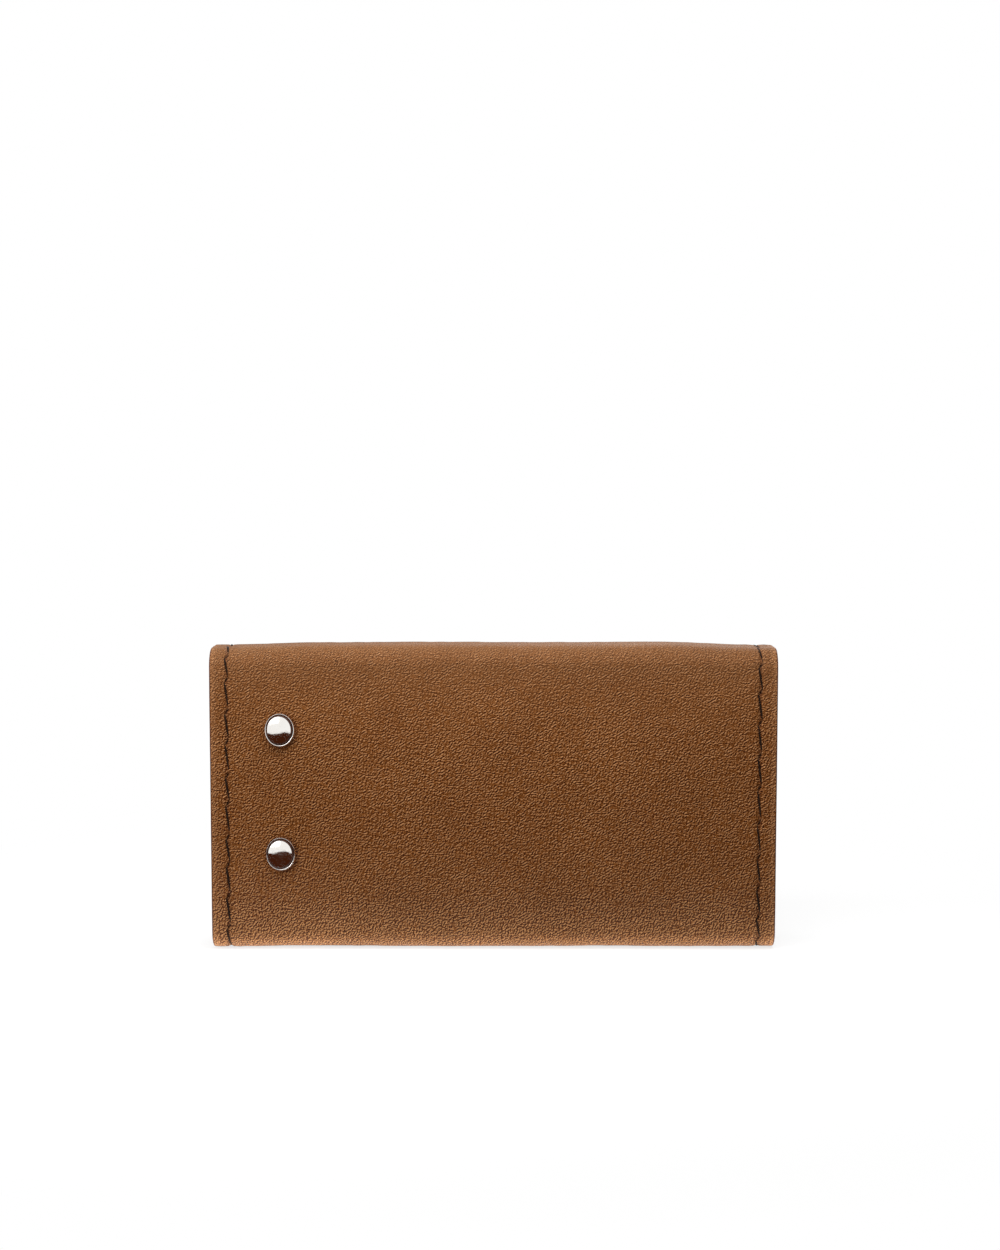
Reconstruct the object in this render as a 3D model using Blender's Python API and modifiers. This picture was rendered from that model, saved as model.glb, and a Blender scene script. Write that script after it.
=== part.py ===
"""A folding leather key case, closed and standing on its lower fold.

One strip of leather and its lining wrap round a rail of four key hooks. The back
panel carries the rail. The front flap rises from the lower fold, the short inner
flap hangs from the upper fold, and a press stud joins the two.

X runs along the case, Y from the back panel to the front flap, and Z up. Metres.
"""

import math

import bmesh
import bpy
from mathutils import Matrix, Vector

# The case
CASE_LENGTH = 0.1150
CASE_HEIGHT = 0.0624
OUTER_LEATHER = 0.0014
LINING_LEATHER = 0.0008
GLUE_LINE = 0.00015
KEY_SPACE = 0.0088
FLAP_GAP = 0.0010
FOLD_RADIUS = 0.0040
PIECE_GAP = 0.0002
FRONT_FLAP_SETBACK = 0.0070
INNER_FLAP_DROP = 0.0270
FLAP_CORNER = 0.0085

# The seam, sunk in a groove
SEAM_INSET = 0.0035
STITCH_LENGTH = 0.0063
THREAD_DIAMETER = 0.0005
STITCH_SLANT = 0.00035
STITCH_DEPTH = 0.00030
STITCH_HOLE_DEPTH = 0.00042
GROOVE_WIDTH = 0.0014
GROOVE_DEPTH = 0.0008
# Where along a stitch the thread leaves its hole, tops out and goes down again, and to which side
STITCH_SHARES = ((0.08, -1), (0.5, 0), (0.92, 1))

# The rivets that hold the rail
RIVET_INSET = 0.0144
RIVET_TO_RAIL_END = 0.0048
RIVET_CAP_TALL = 0.0069
RIVET_CAP_WIDE = 0.0061
RIVET_CAP_RISE = 0.0015
RIVET_CAP_SKIRT = 0.0003
RIVET_SHANK_RADIUS = 0.0015
RIVET_BORE_RADIUS = 0.0011
RIVET_PIN_RADIUS = 0.0010
RIVET_FOOT_RADIUS = 0.0029
RIVET_FOOT_RISE = 0.0009
RIVET_HOLE_CLEARANCE = 0.0002
SEAT_GAP = 0.0001

# The rail
HOOK_TO_RAIL_END = 0.0040
RAIL_WIDTH = 0.0110
RAIL_SHEET = 0.0008
RAIL_LIP_HEIGHT = 0.0070
RAIL_BEND_RADIUS = 0.0012
RAIL_CORNER = 0.0020
RAIL_EDGE_TO_RIVET = 0.0050
RAIL_RISE = 0.0014

# A hook, lying flat, with its stem through the rail's lip
HOOK_COUNT = 4
HOOK_GAP = 0.0012
HOOK_WIDTH = 0.0078
HOOK_THICKNESS = 0.0024
HOOK_REACH = 0.0222
HOOK_BAR = 0.0014
HOOK_BLOCK = 0.0046
HOOK_BLOCK_CORNER = 0.0020
HOOK_EYE_CORNER = 0.0012
NECK_LENGTH = 0.0026
NECK_RADIUS = 0.0015
STEM_RADIUS = 0.0010
STEM_HOLE_RADIUS = 0.00115
STEM_HEAD_RADIUS = 0.0017
STEM_HEAD_RISE = 0.0009
STEM_PLAY = 0.0003
NOSE_SETBACK = 0.0020
NOSE_SLOPE = 0.0010

# The hook's sprung gate
GATE_THICKNESS = 0.0010
GATE_HEIGHT = 0.0012
GATE_EYE_RADIUS = 0.0012
GATE_PIN_RADIUS = 0.0004
GATE_PIN_CLEARANCE = 0.0001
GATE_CLEARANCE = 0.00015
GATE_PIVOT_SETBACK = 0.0022

# The press stud
SNAP_TO_SEAM = 0.0011
SNAP_CAP_RADIUS = 0.0055
SNAP_CAP_RISE = 0.0015
SNAP_CAP_ROLL = 0.0006
SNAP_SHANK_RADIUS = 0.0014
SNAP_SHANK_CLEARANCE = 0.00015
SOCKET_RADIUS = 0.0046
SOCKET_THICKNESS = 0.0016
SOCKET_BACK = 0.0003
SOCKET_BORE_RADIUS = 0.0026
SOCKET_HOLE_CLEARANCE = 0.0002
STUD_FLANGE_RADIUS = 0.0038
STUD_FLANGE_THICKNESS = 0.0004
STUD_RADIUS = 0.0016
STUD_RISE = 0.0014
STUD_BORE_RADIUS = 0.0010
STUD_PIN_RADIUS = 0.0009
STUD_PIN_REACH = 0.0007
POST_RADIUS = 0.0042
POST_THICKNESS = 0.0005

# How finely round shapes are cut into facets
FOLD_STEPS = 8
CORNER_STEPS = 6
HOLE_STEPS = 24
SMALL_HOLE_STEPS = 16
THREAD_SIDES_LEVEL = 1
CUT_OVERRUN = 0.0005
CUT_OVERTURN = 7
MERGE_DISTANCE = 0.000001

# Worked out from the sizes above
WALL = OUTER_LEATHER + GLUE_LINE + LINING_LEATHER
UPPER_DEPTH = WALL + KEY_SPACE + WALL
CASE_DEPTH = UPPER_DEPTH + FLAP_GAP + WALL
LEFT_END = -CASE_LENGTH / 2
RIGHT_END = CASE_LENGTH / 2
BACK_FACE = -CASE_DEPTH / 2
FRONT_FACE = CASE_DEPTH / 2
INNER_FLAP_FACE = BACK_FACE + UPPER_DEPTH
BACK_LINING_FACE = BACK_FACE + WALL
NEUTRAL_RADIUS = FOLD_RADIUS - WALL / 2
HINGE_OFFSET = math.pi / 4 * NEUTRAL_RADIUS
PANEL_BOTTOM = FOLD_RADIUS + PIECE_GAP
PANEL_TOP = CASE_HEIGHT - FOLD_RADIUS - PIECE_GAP
FRONT_FLAP_RISE = CASE_HEIGHT - FRONT_FLAP_SETBACK
INNER_FLAP_EDGE = CASE_HEIGHT - INNER_FLAP_DROP
SNAP_HEIGHT = INNER_FLAP_EDGE + SEAM_INSET + GROOVE_WIDTH / 2 + SNAP_TO_SEAM + POST_RADIUS
SEAM_X = {"left": LEFT_END + SEAM_INSET, "right": RIGHT_END - SEAM_INSET}
HOOK_PITCH = HOOK_WIDTH + HOOK_GAP
RAIL_LENGTH = (HOOK_COUNT - 1) * HOOK_PITCH + 2 * HOOK_TO_RAIL_END
RAIL_HEIGHT = CASE_HEIGHT / 2 + RAIL_RISE
RIVET_X = LEFT_END + RIVET_INSET
RIVET_SPACING = RAIL_LENGTH - 2 * RIVET_TO_RAIL_END
RIVET_HEIGHTS = {"upper": RAIL_HEIGHT + RIVET_SPACING / 2, "lower": RAIL_HEIGHT - RIVET_SPACING / 2}
RIVET_HOLE_RADIUS = RIVET_SHANK_RADIUS + RIVET_HOLE_CLEARANCE
RIVET_DEPTH = WALL + RAIL_SHEET
RAIL_LEFT = RIVET_X - RAIL_EDGE_TO_RIVET
RAIL_RIGHT = RAIL_LEFT + RAIL_WIDTH
RAIL_SEAT = BACK_LINING_FACE + SEAT_GAP
RAIL_TOP = RAIL_SEAT + RAIL_LIP_HEIGHT
STEM_Y = BACK_LINING_FACE + KEY_SPACE / 2
HOOK_START = RAIL_RIGHT + NECK_LENGTH
BLOCK_END = HOOK_START + HOOK_BLOCK
HOOK_END = RAIL_RIGHT + HOOK_REACH
NOSE_X = HOOK_END - HOOK_WIDTH / 2 - NOSE_SETBACK
GATE_PIVOT_X = BLOCK_END - GATE_PIVOT_SETBACK
GATE_PIVOT_RISE = HOOK_WIDTH / 2 - GATE_EYE_RADIUS
HOOK_HEIGHTS = {
    number + 1: RAIL_HEIGHT + (number - (HOOK_COUNT - 1) / 2) * HOOK_PITCH for number in range(HOOK_COUNT)
}

# Each fold's centre in (Y, Z), and the angle in degrees at which its quarter turn starts
FOLDS = {
    "lower_front": ((FRONT_FACE - FOLD_RADIUS, FOLD_RADIUS), 0),
    "lower_back": ((BACK_FACE + FOLD_RADIUS, FOLD_RADIUS), -90),
    "upper_back": ((BACK_FACE + FOLD_RADIUS, CASE_HEIGHT - FOLD_RADIUS), 180),
    "upper_front": ((INNER_FLAP_FACE - FOLD_RADIUS, CASE_HEIGHT - FOLD_RADIUS), 90),
}
QUARTER_TURN = 90

# Colour, roughness and metallic value of each material
FINISHES = {
    "brown_leather": ((0.18, 0.075, 0.027, 1), 0.6, 0),
    "lining_leather": ((0.09, 0.038, 0.018, 1), 0.7, 0),
    "dark_thread": ((0.012, 0.007, 0.005, 1), 0.8, 0),
    "nickel": ((0.72, 0.70, 0.67, 1), 0.15, 1),
    "satin_steel": ((0.55, 0.54, 0.52, 1), 0.3, 1),
}


def clear_scene():
    for thing in list(bpy.data.objects):
        bpy.data.objects.remove(thing)


def new_collection(name):
    made = bpy.data.collections.new(name)
    bpy.context.scene.collection.children.link(made)
    return made


def new_material(name, colour, roughness, metallic):
    made = bpy.data.materials.new(name)
    made.use_nodes = True
    shader = made.node_tree.nodes["Principled BSDF"]
    shader.inputs["Base Color"].default_value = colour
    shader.inputs["Roughness"].default_value = roughness
    shader.inputs["Metallic"].default_value = metallic
    made.diffuse_color = colour
    return made


clear_scene()
PARTS = new_collection("key_case")
CUTTERS = new_collection("cutters")
MATERIALS = {name: new_material(name, *finish) for name, finish in FINISHES.items()}


def facing_y(y):
    """A frame whose plane is X and Z, at depth y."""
    return Matrix.Translation((0, y, 0)) @ Matrix.Rotation(math.pi / 2, 4, "X")


def facing_x(x):
    """A frame whose plane is Y and Z, at x along the case."""
    turn = Matrix.Rotation(math.pi / 2, 4, "Z") @ Matrix.Rotation(math.pi / 2, 4, "X")
    return Matrix.Translation((x, 0, 0)) @ turn


def facing_up(z):
    """A frame whose plane is X and Y, at height z."""
    return Matrix.Translation((0, 0, z))


def pointing(place, direction):
    """A frame at a point, whose own Z runs along the direction."""
    turn = Vector(direction).to_track_quat("Z", "Y").to_matrix().to_4x4()
    return Matrix.Translation(place) @ turn


def arc(centre, radius, start, end, steps):
    """Points on an arc in a plane, from one angle in degrees to another."""
    points = []
    for step in range(steps + 1):
        angle = math.radians(start + (end - start) * step / steps)
        points.append((centre[0] + radius * math.cos(angle), centre[1] + radius * math.sin(angle)))
    return points


def circle(centre, radius, steps=HOLE_STEPS):
    return arc(centre, radius, 0, 360, steps)[:-1]


def link(made, material, cutter=False):
    """Puts an object in its collection and gives it its material."""
    (CUTTERS if cutter else PARTS).objects.link(made)
    if cutter:
        made.hide_render = True
        made.display_type = "WIRE"
    elif material:
        made.data.materials.clear()
        made.data.materials.append(MATERIALS[material])
    return made


def weld(mesh):
    work = bmesh.new()
    work.from_mesh(mesh)
    bmesh.ops.remove_doubles(work, verts=work.verts, dist=MERGE_DISTANCE)
    bmesh.ops.recalc_face_normals(work, faces=work.faces)
    work.to_mesh(mesh)
    work.free()


def outline_solid(name, loops, thickness, frame, material=None, cutter=False):
    """A flat outline and its holes, made solid to both sides of the frame's plane."""
    curve = bpy.data.curves.new(name, "CURVE")
    curve.dimensions = "2D"
    curve.fill_mode = "BOTH"
    curve.extrude = thickness / 2
    for loop in loops:
        spline = curve.splines.new("POLY")
        spline.points.add(len(loop) - 1)
        for point, (across, up) in zip(spline.points, loop):
            point.co = (across, up, 0, 1)
        spline.use_cyclic_u = True
    flat = bpy.data.objects.new(name + "_outline", curve)
    bpy.context.scene.collection.objects.link(flat)
    bpy.context.view_layer.update()
    graph = bpy.context.evaluated_depsgraph_get()
    mesh = bpy.data.meshes.new_from_object(flat.evaluated_get(graph))
    bpy.data.objects.remove(flat)
    weld(mesh)
    solid = bpy.data.objects.new(name, mesh)
    solid.matrix_world = frame
    return link(solid, material, cutter)


def turned_solid(name, profile, frame, material=None, steps=HOLE_STEPS, cutter=False):
    """A profile of (radius, height) points, outer side downwards, turned about the frame's Z."""
    mesh = bpy.data.meshes.new(name)
    edges = [(step, step + 1) for step in range(len(profile) - 1)]
    mesh.from_pydata([(radius, 0, height) for radius, height in profile], edges, [])
    solid = bpy.data.objects.new(name, mesh)
    solid.matrix_world = frame
    screw = solid.modifiers.new("turn", "SCREW")
    screw.axis = "Z"
    screw.angle = math.radians(360)
    screw.steps = steps
    screw.render_steps = steps
    screw.use_merge_vertices = True
    screw.merge_threshold = MERGE_DISTANCE
    screw.use_smooth_shade = False
    return link(solid, material, cutter)


def cylinder(name, place, direction, radius, length, material=None, steps=HOLE_STEPS, cutter=False):
    """A plain round bar about its middle."""
    half = length / 2
    profile = [(0, half), (radius, half), (radius, -half), (0, -half)]
    return turned_solid(name, profile, pointing(place, direction), material, steps, cutter=cutter)


def box(name, low, high, material=None, cutter=False):
    """A box between two corners."""
    work = bmesh.new()
    bmesh.ops.create_cube(work, size=1)
    spans = [top - bottom for bottom, top in zip(low, high)]
    middle = [(top + bottom) / 2 for bottom, top in zip(low, high)]
    bmesh.ops.scale(work, vec=spans, verts=work.verts)
    mesh = bpy.data.meshes.new(name)
    work.to_mesh(mesh)
    work.free()
    solid = bpy.data.objects.new(name, mesh)
    solid.location = middle
    return link(solid, material, cutter)


def tube(name, points, radius, material):
    """A round thread through the points."""
    curve = bpy.data.curves.new(name, "CURVE")
    curve.dimensions = "3D"
    curve.bevel_depth = radius
    curve.bevel_resolution = THREAD_SIDES_LEVEL
    curve.use_fill_caps = True
    spline = curve.splines.new("POLY")
    spline.points.add(len(points) - 1)
    for point, place in zip(spline.points, points):
        point.co = (*place, 1)
    return link(bpy.data.objects.new(name, curve), material)


def boolean(solid, tool, operation="DIFFERENCE"):
    step = solid.modifiers.new(tool.name, "BOOLEAN")
    step.operation = operation
    step.solver = "EXACT"
    step.object = tool


def smooth(solid):
    """Rounds the shading of a turned piece and keeps its corners."""
    solid.modifiers["turn"].use_smooth_shade = True
    return solid


# Leather


def fold_arc(fold, radius, overrun=0):
    """The (Y, Z) points of a fold at one radius, in the order in which the strip runs."""
    centre, start = FOLDS[fold]
    return arc(centre, radius, start + overrun, start - QUARTER_TURN - overrun, FOLD_STEPS)


def fold_band(outer, inner, fold):
    """The section of one layer of a fold."""
    return fold_arc(fold, outer) + fold_arc(fold, inner)[::-1]


def fold_grooves(fold):
    """Two cutters that sink the seam into a fold, one at each end of the case."""
    outer = fold_arc(fold, FOLD_RADIUS + CUT_OVERRUN, overrun=CUT_OVERTURN)
    inner = fold_arc(fold, FOLD_RADIUS - GROOVE_DEPTH, overrun=CUT_OVERTURN)
    return [
        outline_solid(f"{fold}_groove_{side}", [outer + inner[::-1]], GROOVE_WIDTH, facing_x(x), cutter=True)
        for side, x in SEAM_X.items()
    ]


def straight_grooves(name, low, high):
    """Two cutters between two corners in Y and Z, one at each end of the case."""
    half = GROOVE_WIDTH / 2
    return [
        box(f"{name}_groove_{side}", (x - half, *low), (x + half, *high), cutter=True)
        for side, x in SEAM_X.items()
    ]


def flap_outline(fold_height, edge_height, inset):
    """Three sides of a flap, set in from its edges: up one end, along the free edge and back."""
    up = 1 if edge_height > fold_height else -1
    corner = FLAP_CORNER
    radius = corner - inset
    centre_height = edge_height - up * corner
    left = arc((LEFT_END + corner, centre_height), radius, 180, 180 - up * QUARTER_TURN, CORNER_STEPS)
    right = arc((RIGHT_END - corner, centre_height), radius, up * QUARTER_TURN, 0, CORNER_STEPS)
    start = (LEFT_END + inset, fold_height)
    end = (RIGHT_END - inset, fold_height)
    return [start] + left + right + [end]


def flap_groove(name, fold_height, edge_height, face):
    """A cutter that sinks the seam into a flap, along its two ends and its free edge."""
    back_off = CUT_OVERRUN if edge_height > fold_height else -CUT_OVERRUN
    half = GROOVE_WIDTH / 2
    outer = flap_outline(fold_height - back_off, edge_height, SEAM_INSET - half)
    inner = flap_outline(fold_height - back_off, edge_height, SEAM_INSET + half)
    middle = face - GROOVE_DEPTH / 2 + CUT_OVERRUN / 2
    thickness = GROOVE_DEPTH + CUT_OVERRUN
    return outline_solid(name, [outer + inner[::-1]], thickness, facing_y(middle), cutter=True)


def panel_outline():
    """The back panel between its folds, with the two rivet holes."""
    lower = [(LEFT_END, PANEL_BOTTOM), (RIGHT_END, PANEL_BOTTOM)]
    upper = [(RIGHT_END, PANEL_TOP), (LEFT_END, PANEL_TOP)]
    holes = [circle((RIVET_X, height), RIVET_HOLE_RADIUS) for height in RIVET_HEIGHTS.values()]
    return [lower + upper] + holes


def back_panel():
    outer = facing_y(BACK_FACE + OUTER_LEATHER / 2)
    inner = facing_y(BACK_LINING_FACE - LINING_LEATHER / 2)
    leather = outline_solid("back_leather", panel_outline(), OUTER_LEATHER, outer, "brown_leather")
    low = (BACK_FACE - CUT_OVERRUN, PANEL_BOTTOM - CUT_OVERRUN)
    high = (BACK_FACE + GROOVE_DEPTH, PANEL_TOP + CUT_OVERRUN)
    for groove in straight_grooves("back", low, high):
        boolean(leather, groove)
    lining = outline_solid("back_lining", panel_outline(), LINING_LEATHER, inner, "lining_leather")
    return [leather, lining]


def folds():
    """The bends of the strip, as one piece of leather and one of lining at each."""
    made = {}
    for fold in FOLDS:
        outer = fold_band(FOLD_RADIUS, FOLD_RADIUS - OUTER_LEATHER, fold)
        inner_radius = FOLD_RADIUS - WALL
        inner = fold_band(inner_radius + LINING_LEATHER, inner_radius, fold)
        leather = outline_solid(f"{fold}_fold_leather", [outer], CASE_LENGTH, facing_x(0), "brown_leather")
        for groove in fold_grooves(fold):
            boolean(leather, groove)
        lining = outline_solid(f"{fold}_fold_lining", [inner], CASE_LENGTH, facing_x(0), "lining_leather")
        made[fold] = [leather, lining]
    return made


def spine(name, front, outer_height, inwards):
    """The narrow strip between two folds: inwards is 1 at the bottom of the case and -1 at its top."""
    back = BACK_FACE + FOLD_RADIUS + PIECE_GAP
    front = front - FOLD_RADIUS - PIECE_GAP
    layers = {
        f"{name}_leather": (0, OUTER_LEATHER, "brown_leather"),
        f"{name}_lining": (WALL - LINING_LEATHER, WALL, "lining_leather"),
    }
    made = []
    for layer, (start, end, material) in layers.items():
        heights = sorted((outer_height + inwards * start, outer_height + inwards * end))
        made.append(box(layer, (LEFT_END, back, heights[0]), (RIGHT_END, front, heights[1]), material))
    ends = sorted((outer_height - inwards * CUT_OVERRUN, outer_height + inwards * GROOVE_DEPTH))
    for groove in straight_grooves(name, (back - CUT_OVERRUN, ends[0]), (front + CUT_OVERRUN, ends[1])):
        boolean(made[0], groove)
    return made


def flap(name, face, fold_height, edge_height, leather_hole, lining_hole):
    """A flap whose outer face is at `face`, with the hole for its half of the press stud."""
    outline = flap_outline(fold_height, edge_height, 0)
    outer = facing_y(face - OUTER_LEATHER / 2)
    inner = facing_y(face - WALL + LINING_LEATHER / 2)
    holes = [circle((0, SNAP_HEIGHT), radius) for radius in (leather_hole, lining_hole)]
    leather = outline_solid(f"{name}_leather", [outline, holes[0]], OUTER_LEATHER, outer, "brown_leather")
    lining = outline_solid(f"{name}_lining", [outline, holes[1]], LINING_LEATHER, inner, "lining_leather")
    boolean(leather, flap_groove(f"{name}_groove", fold_height, edge_height, face))
    return [leather, lining]


def front_flap():
    leather_hole = SNAP_SHANK_RADIUS + SNAP_SHANK_CLEARANCE
    lining_hole = SOCKET_RADIUS + SOCKET_HOLE_CLEARANCE
    return flap("front_flap", FRONT_FACE, PANEL_BOTTOM, FRONT_FLAP_RISE, leather_hole, lining_hole)


def inner_flap():
    hole = STUD_BORE_RADIUS + SNAP_SHANK_CLEARANCE
    leather, lining = flap("inner_flap", INNER_FLAP_FACE, PANEL_TOP, INNER_FLAP_EDGE, hole, hole)
    depth = STUD_FLANGE_THICKNESS + SEAT_GAP
    place = (0, INNER_FLAP_FACE - depth / 2 + CUT_OVERRUN / 2, SNAP_HEIGHT)
    radius = STUD_FLANGE_RADIUS + SOCKET_HOLE_CLEARANCE
    recess = cylinder("stud_recess", place, (0, 1, 0), radius, depth + CUT_OVERRUN, cutter=True)
    boolean(leather, recess)
    return [leather, lining]


# Seams


def walk(path, distance):
    """The place, direction and outward normal at a distance along a path of (place, normal) points."""
    for (start, start_normal), (end, end_normal) in zip(path, path[1:]):
        length = (end - start).length
        if distance <= length or end is path[-1][0]:
            share = distance / length
            normal = start_normal.lerp(end_normal, share).normalized()
            return start.lerp(end, share), (end - start).normalized(), normal
        distance -= length


def path_length(path):
    return sum((end - start).length for (start, _), (end, _) in zip(path, path[1:]))


def seam(name, path):
    """A row of slanting stitches, as one thread that dips at each hole."""
    length = path_length(path)
    stitches = max(1, round(length / STITCH_LENGTH))
    points = []
    for stitch in range(stitches):
        for share, side in STITCH_SHARES:
            place, along, normal = walk(path, (stitch + share) * length / stitches)
            depth = STITCH_HOLE_DEPTH if side else STITCH_DEPTH
            across = normal.cross(along)
            points.append(place - normal * depth + across * STITCH_SLANT * side)
    return tube(name, points, THREAD_DIAMETER / 2, "dark_thread")


def wrap_stretch(x, folds_on_it):
    """The seam's path over one or two folds and the strip between them."""
    path = []
    for fold in folds_on_it:
        centre = Vector((x, *FOLDS[fold][0]))
        for y, z in fold_arc(fold, FOLD_RADIUS):
            place = Vector((x, y, z))
            path.append((place, (place - centre).normalized()))
    return path


def back_path(x):
    outwards = Vector((0, -1, 0))
    return [(Vector((x, BACK_FACE, PANEL_BOTTOM)), outwards), (Vector((x, BACK_FACE, PANEL_TOP)), outwards)]


def flap_path(face, fold_height, edge_height):
    outwards = Vector((0, 1, 0))
    outline = flap_outline(fold_height, edge_height, SEAM_INSET)
    return [(Vector((x, face, z)), outwards) for x, z in outline]


# Rivets


def rivet_cap(level):
    """A domed cap outside the back panel, narrower along the case, with a hollow shank."""
    dome_rise = RIVET_CAP_RISE - RIVET_CAP_SKIRT
    half_tall = RIVET_CAP_TALL / 2
    dome_radius = (dome_rise**2 + half_tall**2) / (2 * dome_rise)
    half_angle = math.degrees(math.asin(half_tall / dome_radius))
    dome = arc((0, RIVET_CAP_RISE - dome_radius), dome_radius, 90, 90 - half_angle, CORNER_STEPS)
    frame = pointing((RIVET_X, BACK_FACE - SEAT_GAP, RIVET_HEIGHTS[level]), (0, -1, 0))
    cap = smooth(turned_solid(f"rivet_cap_{level}", dome + [(half_tall, 0), (0, 0)], frame, "nickel"))
    cap.scale = (RIVET_CAP_WIDE / RIVET_CAP_TALL, 1, 1)
    shank_profile = [
        (0, RIVET_CAP_SKIRT),
        (RIVET_SHANK_RADIUS, RIVET_CAP_SKIRT),
        (RIVET_SHANK_RADIUS, -RIVET_DEPTH),
        (RIVET_BORE_RADIUS, -RIVET_DEPTH),
        (RIVET_BORE_RADIUS, -SEAT_GAP),
        (0, -SEAT_GAP),
    ]
    boolean(cap, turned_solid(f"rivet_shank_{level}", shank_profile, frame, cutter=True), "UNION")
    return cap


def rivet_foot(level):
    """The flat head inside the case, with the pin that closes the hollow shank."""
    roll = RIVET_FOOT_RISE / 2
    profile = [
        (0, RIVET_FOOT_RISE),
        (RIVET_FOOT_RADIUS - roll, RIVET_FOOT_RISE),
        (RIVET_FOOT_RADIUS, roll),
        (RIVET_FOOT_RADIUS, 0),
        (RIVET_PIN_RADIUS, 0),
        (RIVET_PIN_RADIUS, SEAT_GAP - RIVET_DEPTH),
        (0, SEAT_GAP - RIVET_DEPTH),
    ]
    seat = RAIL_SEAT + RAIL_SHEET + SEAT_GAP
    frame = pointing((RIVET_X, seat, RIVET_HEIGHTS[level]), (0, 1, 0))
    return smooth(turned_solid(f"rivet_foot_{level}", profile, frame, "nickel"))


# The rail


def rounded_rectangle(low, high, radius):
    """The corners of an upright rectangle in a plane, each a quarter turn."""
    left, bottom = low[0] + radius, low[1] + radius
    right, top = high[0] - radius, high[1] - radius
    centres = {180: (left, bottom), 270: (right, bottom), 0: (right, top), 90: (left, top)}
    points = []
    for start, centre in centres.items():
        points += arc(centre, radius, start, start + QUARTER_TURN, CORNER_STEPS)
    return points


def rail_section():
    """The rail seen from its end, in X and Y: a plate with its right edge turned up as a lip."""
    inner_bend = RAIL_BEND_RADIUS - RAIL_SHEET
    bend = (RAIL_RIGHT - RAIL_BEND_RADIUS, RAIL_SEAT + RAIL_BEND_RADIUS)
    outside = arc(bend, RAIL_BEND_RADIUS, -QUARTER_TURN, 0, CORNER_STEPS)
    inside = arc(bend, inner_bend, 0, -QUARTER_TURN, CORNER_STEPS)
    plate_end = [(RAIL_LEFT, RAIL_SEAT + RAIL_SHEET), (RAIL_LEFT, RAIL_SEAT)]
    return outside + [(RAIL_RIGHT, RAIL_TOP), (RAIL_RIGHT - RAIL_SHEET, RAIL_TOP)] + inside + plate_end


def rail():
    """The folded plate, with its corners rounded and its holes for the rivets and the stems."""
    plate = outline_solid("key_rail", [rail_section()], RAIL_LENGTH, facing_up(RAIL_HEIGHT), "satin_steel")
    bottom = RAIL_HEIGHT - RAIL_LENGTH / 2
    top = RAIL_HEIGHT + RAIL_LENGTH / 2
    through = 2 * (RAIL_LIP_HEIGHT + RAIL_WIDTH)
    plate_corners = rounded_rectangle((RAIL_LEFT, bottom), (RAIL_RIGHT + RAIL_CORNER, top), RAIL_CORNER)
    lip_corners = rounded_rectangle((RAIL_SEAT - RAIL_CORNER, bottom), (RAIL_TOP, top), RAIL_CORNER)
    plate_blank = outline_solid("plate_blank", [plate_corners], through, facing_y(RAIL_SEAT), cutter=True)
    lip_blank = outline_solid("lip_blank", [lip_corners], through, facing_x(RAIL_RIGHT), cutter=True)
    boolean(plate, plate_blank, "INTERSECT")
    boolean(plate, lip_blank, "INTERSECT")
    for level, height in RIVET_HEIGHTS.items():
        place = (RIVET_X, RAIL_SEAT, height)
        length = 2 * RAIL_SHEET + CUT_OVERRUN
        hole = cylinder(f"rail_hole_{level}", place, (0, 1, 0), RIVET_HOLE_RADIUS, length, cutter=True)
        boolean(plate, hole)
    for number, height in HOOK_HEIGHTS.items():
        place = (RAIL_RIGHT, STEM_Y, height)
        length = 2 * RAIL_SHEET + CUT_OVERRUN
        hole = cylinder(f"stem_hole_{number}", place, (1, 0, 0), STEM_HOLE_RADIUS, length, cutter=True)
        boolean(plate, hole)
    return plate


# Hooks


def hook_outline(height):
    """The hook seen from the front, in X and Z: a block, a bar, the round end and the nose."""
    low, high = height - HOOK_WIDTH / 2, height + HOOK_WIDTH / 2
    bar_inside = low + HOOK_BAR
    end = (HOOK_END - HOOK_WIDTH / 2, height)
    corner = HOOK_BLOCK_CORNER
    eye = HOOK_EYE_CORNER
    block_start = arc((HOOK_START + corner, low + corner), corner, 180, 270, CORNER_STEPS)
    round_end = arc(end, HOOK_WIDTH / 2, -90, 90, 2 * CORNER_STEPS)
    nose = [(NOSE_X, high), (NOSE_X + NOSE_SLOPE, high - HOOK_BAR)]
    eye_end = arc(end, HOOK_WIDTH / 2 - HOOK_BAR, 90, -90, 2 * CORNER_STEPS)
    eye_start = arc((BLOCK_END + eye, bar_inside + eye), eye, 270, 180, CORNER_STEPS)
    block_end = [(BLOCK_END, high)] + arc((HOOK_START + corner, high - corner), corner, 90, 180, CORNER_STEPS)
    return block_start + round_end + nose + eye_end + eye_start + block_end


def hook_stem(number, height):
    """The neck, the stem through the rail's lip and the head that keeps it there."""
    head_start = -RAIL_SHEET - STEM_PLAY
    head_end = head_start - STEM_HEAD_RISE
    buried = NECK_LENGTH + HOOK_BLOCK / 2
    profile = [
        (0, buried),
        (NECK_RADIUS, buried),
        (NECK_RADIUS, STEM_PLAY),
        (STEM_RADIUS, STEM_PLAY),
        (STEM_RADIUS, head_start),
        (STEM_HEAD_RADIUS, head_start),
        (STEM_HEAD_RADIUS, head_end),
        (0, head_end),
    ]
    frame = pointing((RAIL_RIGHT, STEM_Y, height), (1, 0, 0))
    return turned_solid(f"stem_{number}", profile, frame, steps=SMALL_HOLE_STEPS, cutter=True)


def pivot_bar(name, place, radius, length, material=None, cutter=False):
    """A small round bar along the gate's axis."""
    return cylinder(name, place, (0, 1, 0), radius, length, material, SMALL_HOLE_STEPS, cutter)


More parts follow.
